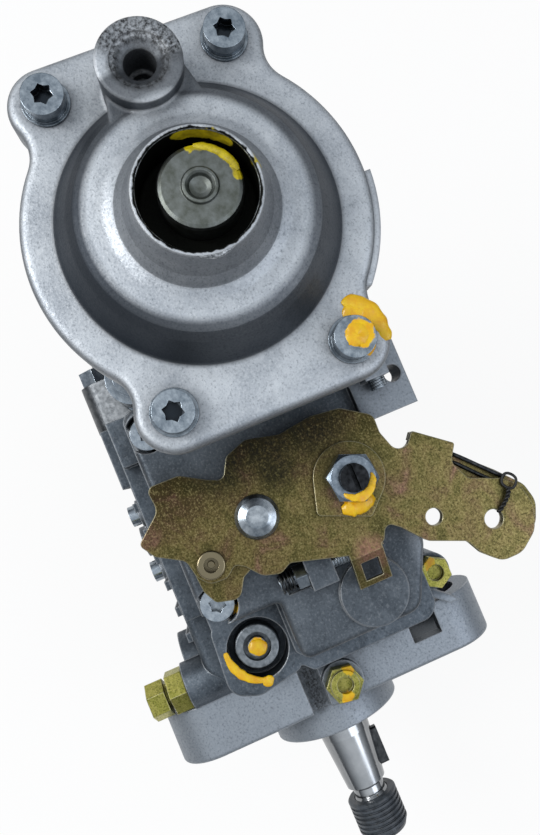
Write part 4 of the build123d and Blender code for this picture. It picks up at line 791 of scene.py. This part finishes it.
ring_angle = around(64)
loop_path = np.stack([-60.4 + 2.1 * np.cos(ring_angle) + 0.15 * np.cos(3 * ring_angle),
                      68.6 + 2.0 * np.sin(ring_angle), 96.6 + 0.5 * np.sin(ring_angle + 0.6)], -1)
tube("seal_wire_loop", loop_path, 0.42, (0, 0, 1), seal_wire, "throttle", 8, True)
twist_points = [(-58.6, 67.6, 96.5), (-56.6, 67.0, 97.2), (-55.0, 64.6, 97.0), (-53.2, 62.4, 96.0)]
twisted("seal_wire_twist", twist_points, 0.38, 0.36, 3.0, "throttle")
spring_legs = [
    tube("return_spring_leg_upper", bezier([(-74.6, 56.2, 92.0), (-73.0, 58.2, 94.6), (-66.0, 64.0, 94.2),
                                            (-61.6, 68.6, 94.2)], 60), 0.6, (0, 0, 1),
         finishes["spring_steel"], "throttle"),
    tube("return_spring_leg_lower", bezier([(-72.4, 55.6, 91.6), (-70.4, 57.6, 93.8), (-65.0, 62.0, 93.6),
                                            (-60.2, 66.8, 93.6)], 60), 0.6, (0, 0, 1),
         finishes["spring_steel"], "throttle"),
]
helix = np.linspace(0, 2 * np.pi * 4, 160)
tube("idle_screw_spring", np.stack([-57.9 + 3.0 * np.cos(helix), np.linspace(-3.0, 1.3, 160),
                                    87.0 + 3.0 * np.sin(helix)], -1),
     0.38, (0, 1, 0), finishes["spring_steel"], "housing", 10)
print("wire pieces:", 6)

# %% [markdown]
# ## Springs wound again
# Two inner springs are pressed together when their joint moves: the one under the diaphragm and the one
# behind the timing piston. A rigid copy would be cut by the part that presses it. Each is wound here
# again as a tube along a helix and takes the CAD spring's place.
# %% Pressed springs
def pressed_spring(name, node, line, up):
    """Tube along the helix line[n, 3], turned by up, which takes the place of the CAD spring node."""
    made = tube(name, line, SPRING_WIRE[node], up, finishes["spring_steel"], "housing", 12)
    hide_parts(node)
    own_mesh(made)


SPRING_WIRE = {"boost_spring": 1.05, "timing_spring": 1.0}
PISTON_AXIS = (-78.0, -46.0)
turn = np.linspace(0, 2 * np.pi * 3.5, 260)
under_plate = np.stack([TOWER[0] + 13.0 * np.cos(turn), TOWER[1] + 13.0 * np.sin(turn),
                        np.linspace(101.1, 115.1, 260)], -1)
pressed_spring("boost_spring_coil", "boost_spring", under_plate, (0, 0, 1))
turn = np.linspace(0, 2 * np.pi * 6, 400)
behind_piston = np.stack([PISTON_AXIS[0] + 6.4 * np.cos(turn), np.linspace(-40.8, -11.2, 400),
                          PISTON_AXIS[1] + 6.4 * np.sin(turn)], -1)
pressed_spring("timing_spring_coil", "timing_spring", behind_piston, (0, 1, 0))

# %% [markdown]
# ## Light and floor
# The pump lies on a white table in a bright room with its window on the left. One large lamp there gives
# the broad highlights, a weak one models the right side, and the world is a soft gradient, pale above and
# grey at the horizon, so that steep metal walls turn darker, as they do in a real room.
# %% Lamps and room
def lamp(name, at, size, watts, colour="ffffff"):
    """Square area lamp that faces the middle of the pump."""
    data = bpy.data.lights.new(name, "AREA")
    data.size = size
    data.energy = watts
    data.color = linear(colour)[:3]
    made = bpy.data.objects.new(name, data)
    bpy.context.scene.collection.objects.link(made)
    middle = (cad_box[0] + cad_box[1]) / 2
    made.location = at
    made.rotation_euler = (middle - Vector(at)).to_track_quat("-Z", "Y").to_euler()
    return made


lamp("window_lamp", (-0.45, -0.60, 0.75), 0.45, 5.2)
lamp("fill_lamp", (0.30, 0.55, 0.80), 0.6, 1.9, "eef4ff")

world = bpy.data.worlds.new("soft_room")
world.use_nodes = True
sky = world.node_tree
sky.nodes.clear()
up = add(sky, "ShaderNodeSeparateXYZ", {0: add(sky, "ShaderNodeTexCoord").outputs["Generated"]}).outputs["Z"]
tone = mix(sky, span(sky, up, 0.05, 0.98), "65696e", "eaeff4")
glow = add(sky, "ShaderNodeBackground", {"Color": tone, "Strength": 0.85})
add(sky, "ShaderNodeOutputWorld", {"Surface": glow.outputs[0]})
bpy.context.scene.world = world

# %% Table
FLOOR_HALF = 1.6
FLOOR_GAP = 0.0006
low = cad_box[0].z - FLOOR_GAP
corners = [(-FLOOR_HALF, -FLOOR_HALF, low), (FLOOR_HALF, -FLOOR_HALF, low),
           (FLOOR_HALF, FLOOR_HALF, low), (-FLOOR_HALF, FLOOR_HALF, low)]
floor_mesh = bpy.data.meshes.new("floor")
floor_mesh.from_pydata(corners, [], [(0, 1, 2, 3)])
floor = bpy.data.objects.new("floor", floor_mesh)
bpy.context.scene.collection.objects.link(floor)
white = bpy.data.materials.new("white_table")
white.use_nodes = True
table = white.node_tree
table.nodes.clear()
matte = add(table, "ShaderNodeBsdfDiffuse", {"Color": linear("f2f2f2")})
plain = add(table, "ShaderNodeEmission", {"Color": (1, 1, 1, 1), "Strength": 1.0})
path = add(table, "ShaderNodeLightPath")
seen = sums(table, "MAXIMUM", path.outputs["Is Camera Ray"], path.outputs["Is Glossy Ray"])
seen = sums(table, "MAXIMUM", seen, path.outputs["Is Transmission Ray"])
share = sums(table, "MULTIPLY", seen, 0.9)
both = add(table, "ShaderNodeMixShader", {0: share, 1: matte.outputs[0], 2: plain.outputs[0]})
add(table, "ShaderNodeOutputMaterial", {"Surface": both.outputs[0]})
floor_mesh.materials.append(white)
bpy.context.scene.view_settings.view_transform = "Standard"
print("floor at", round(low, 4))
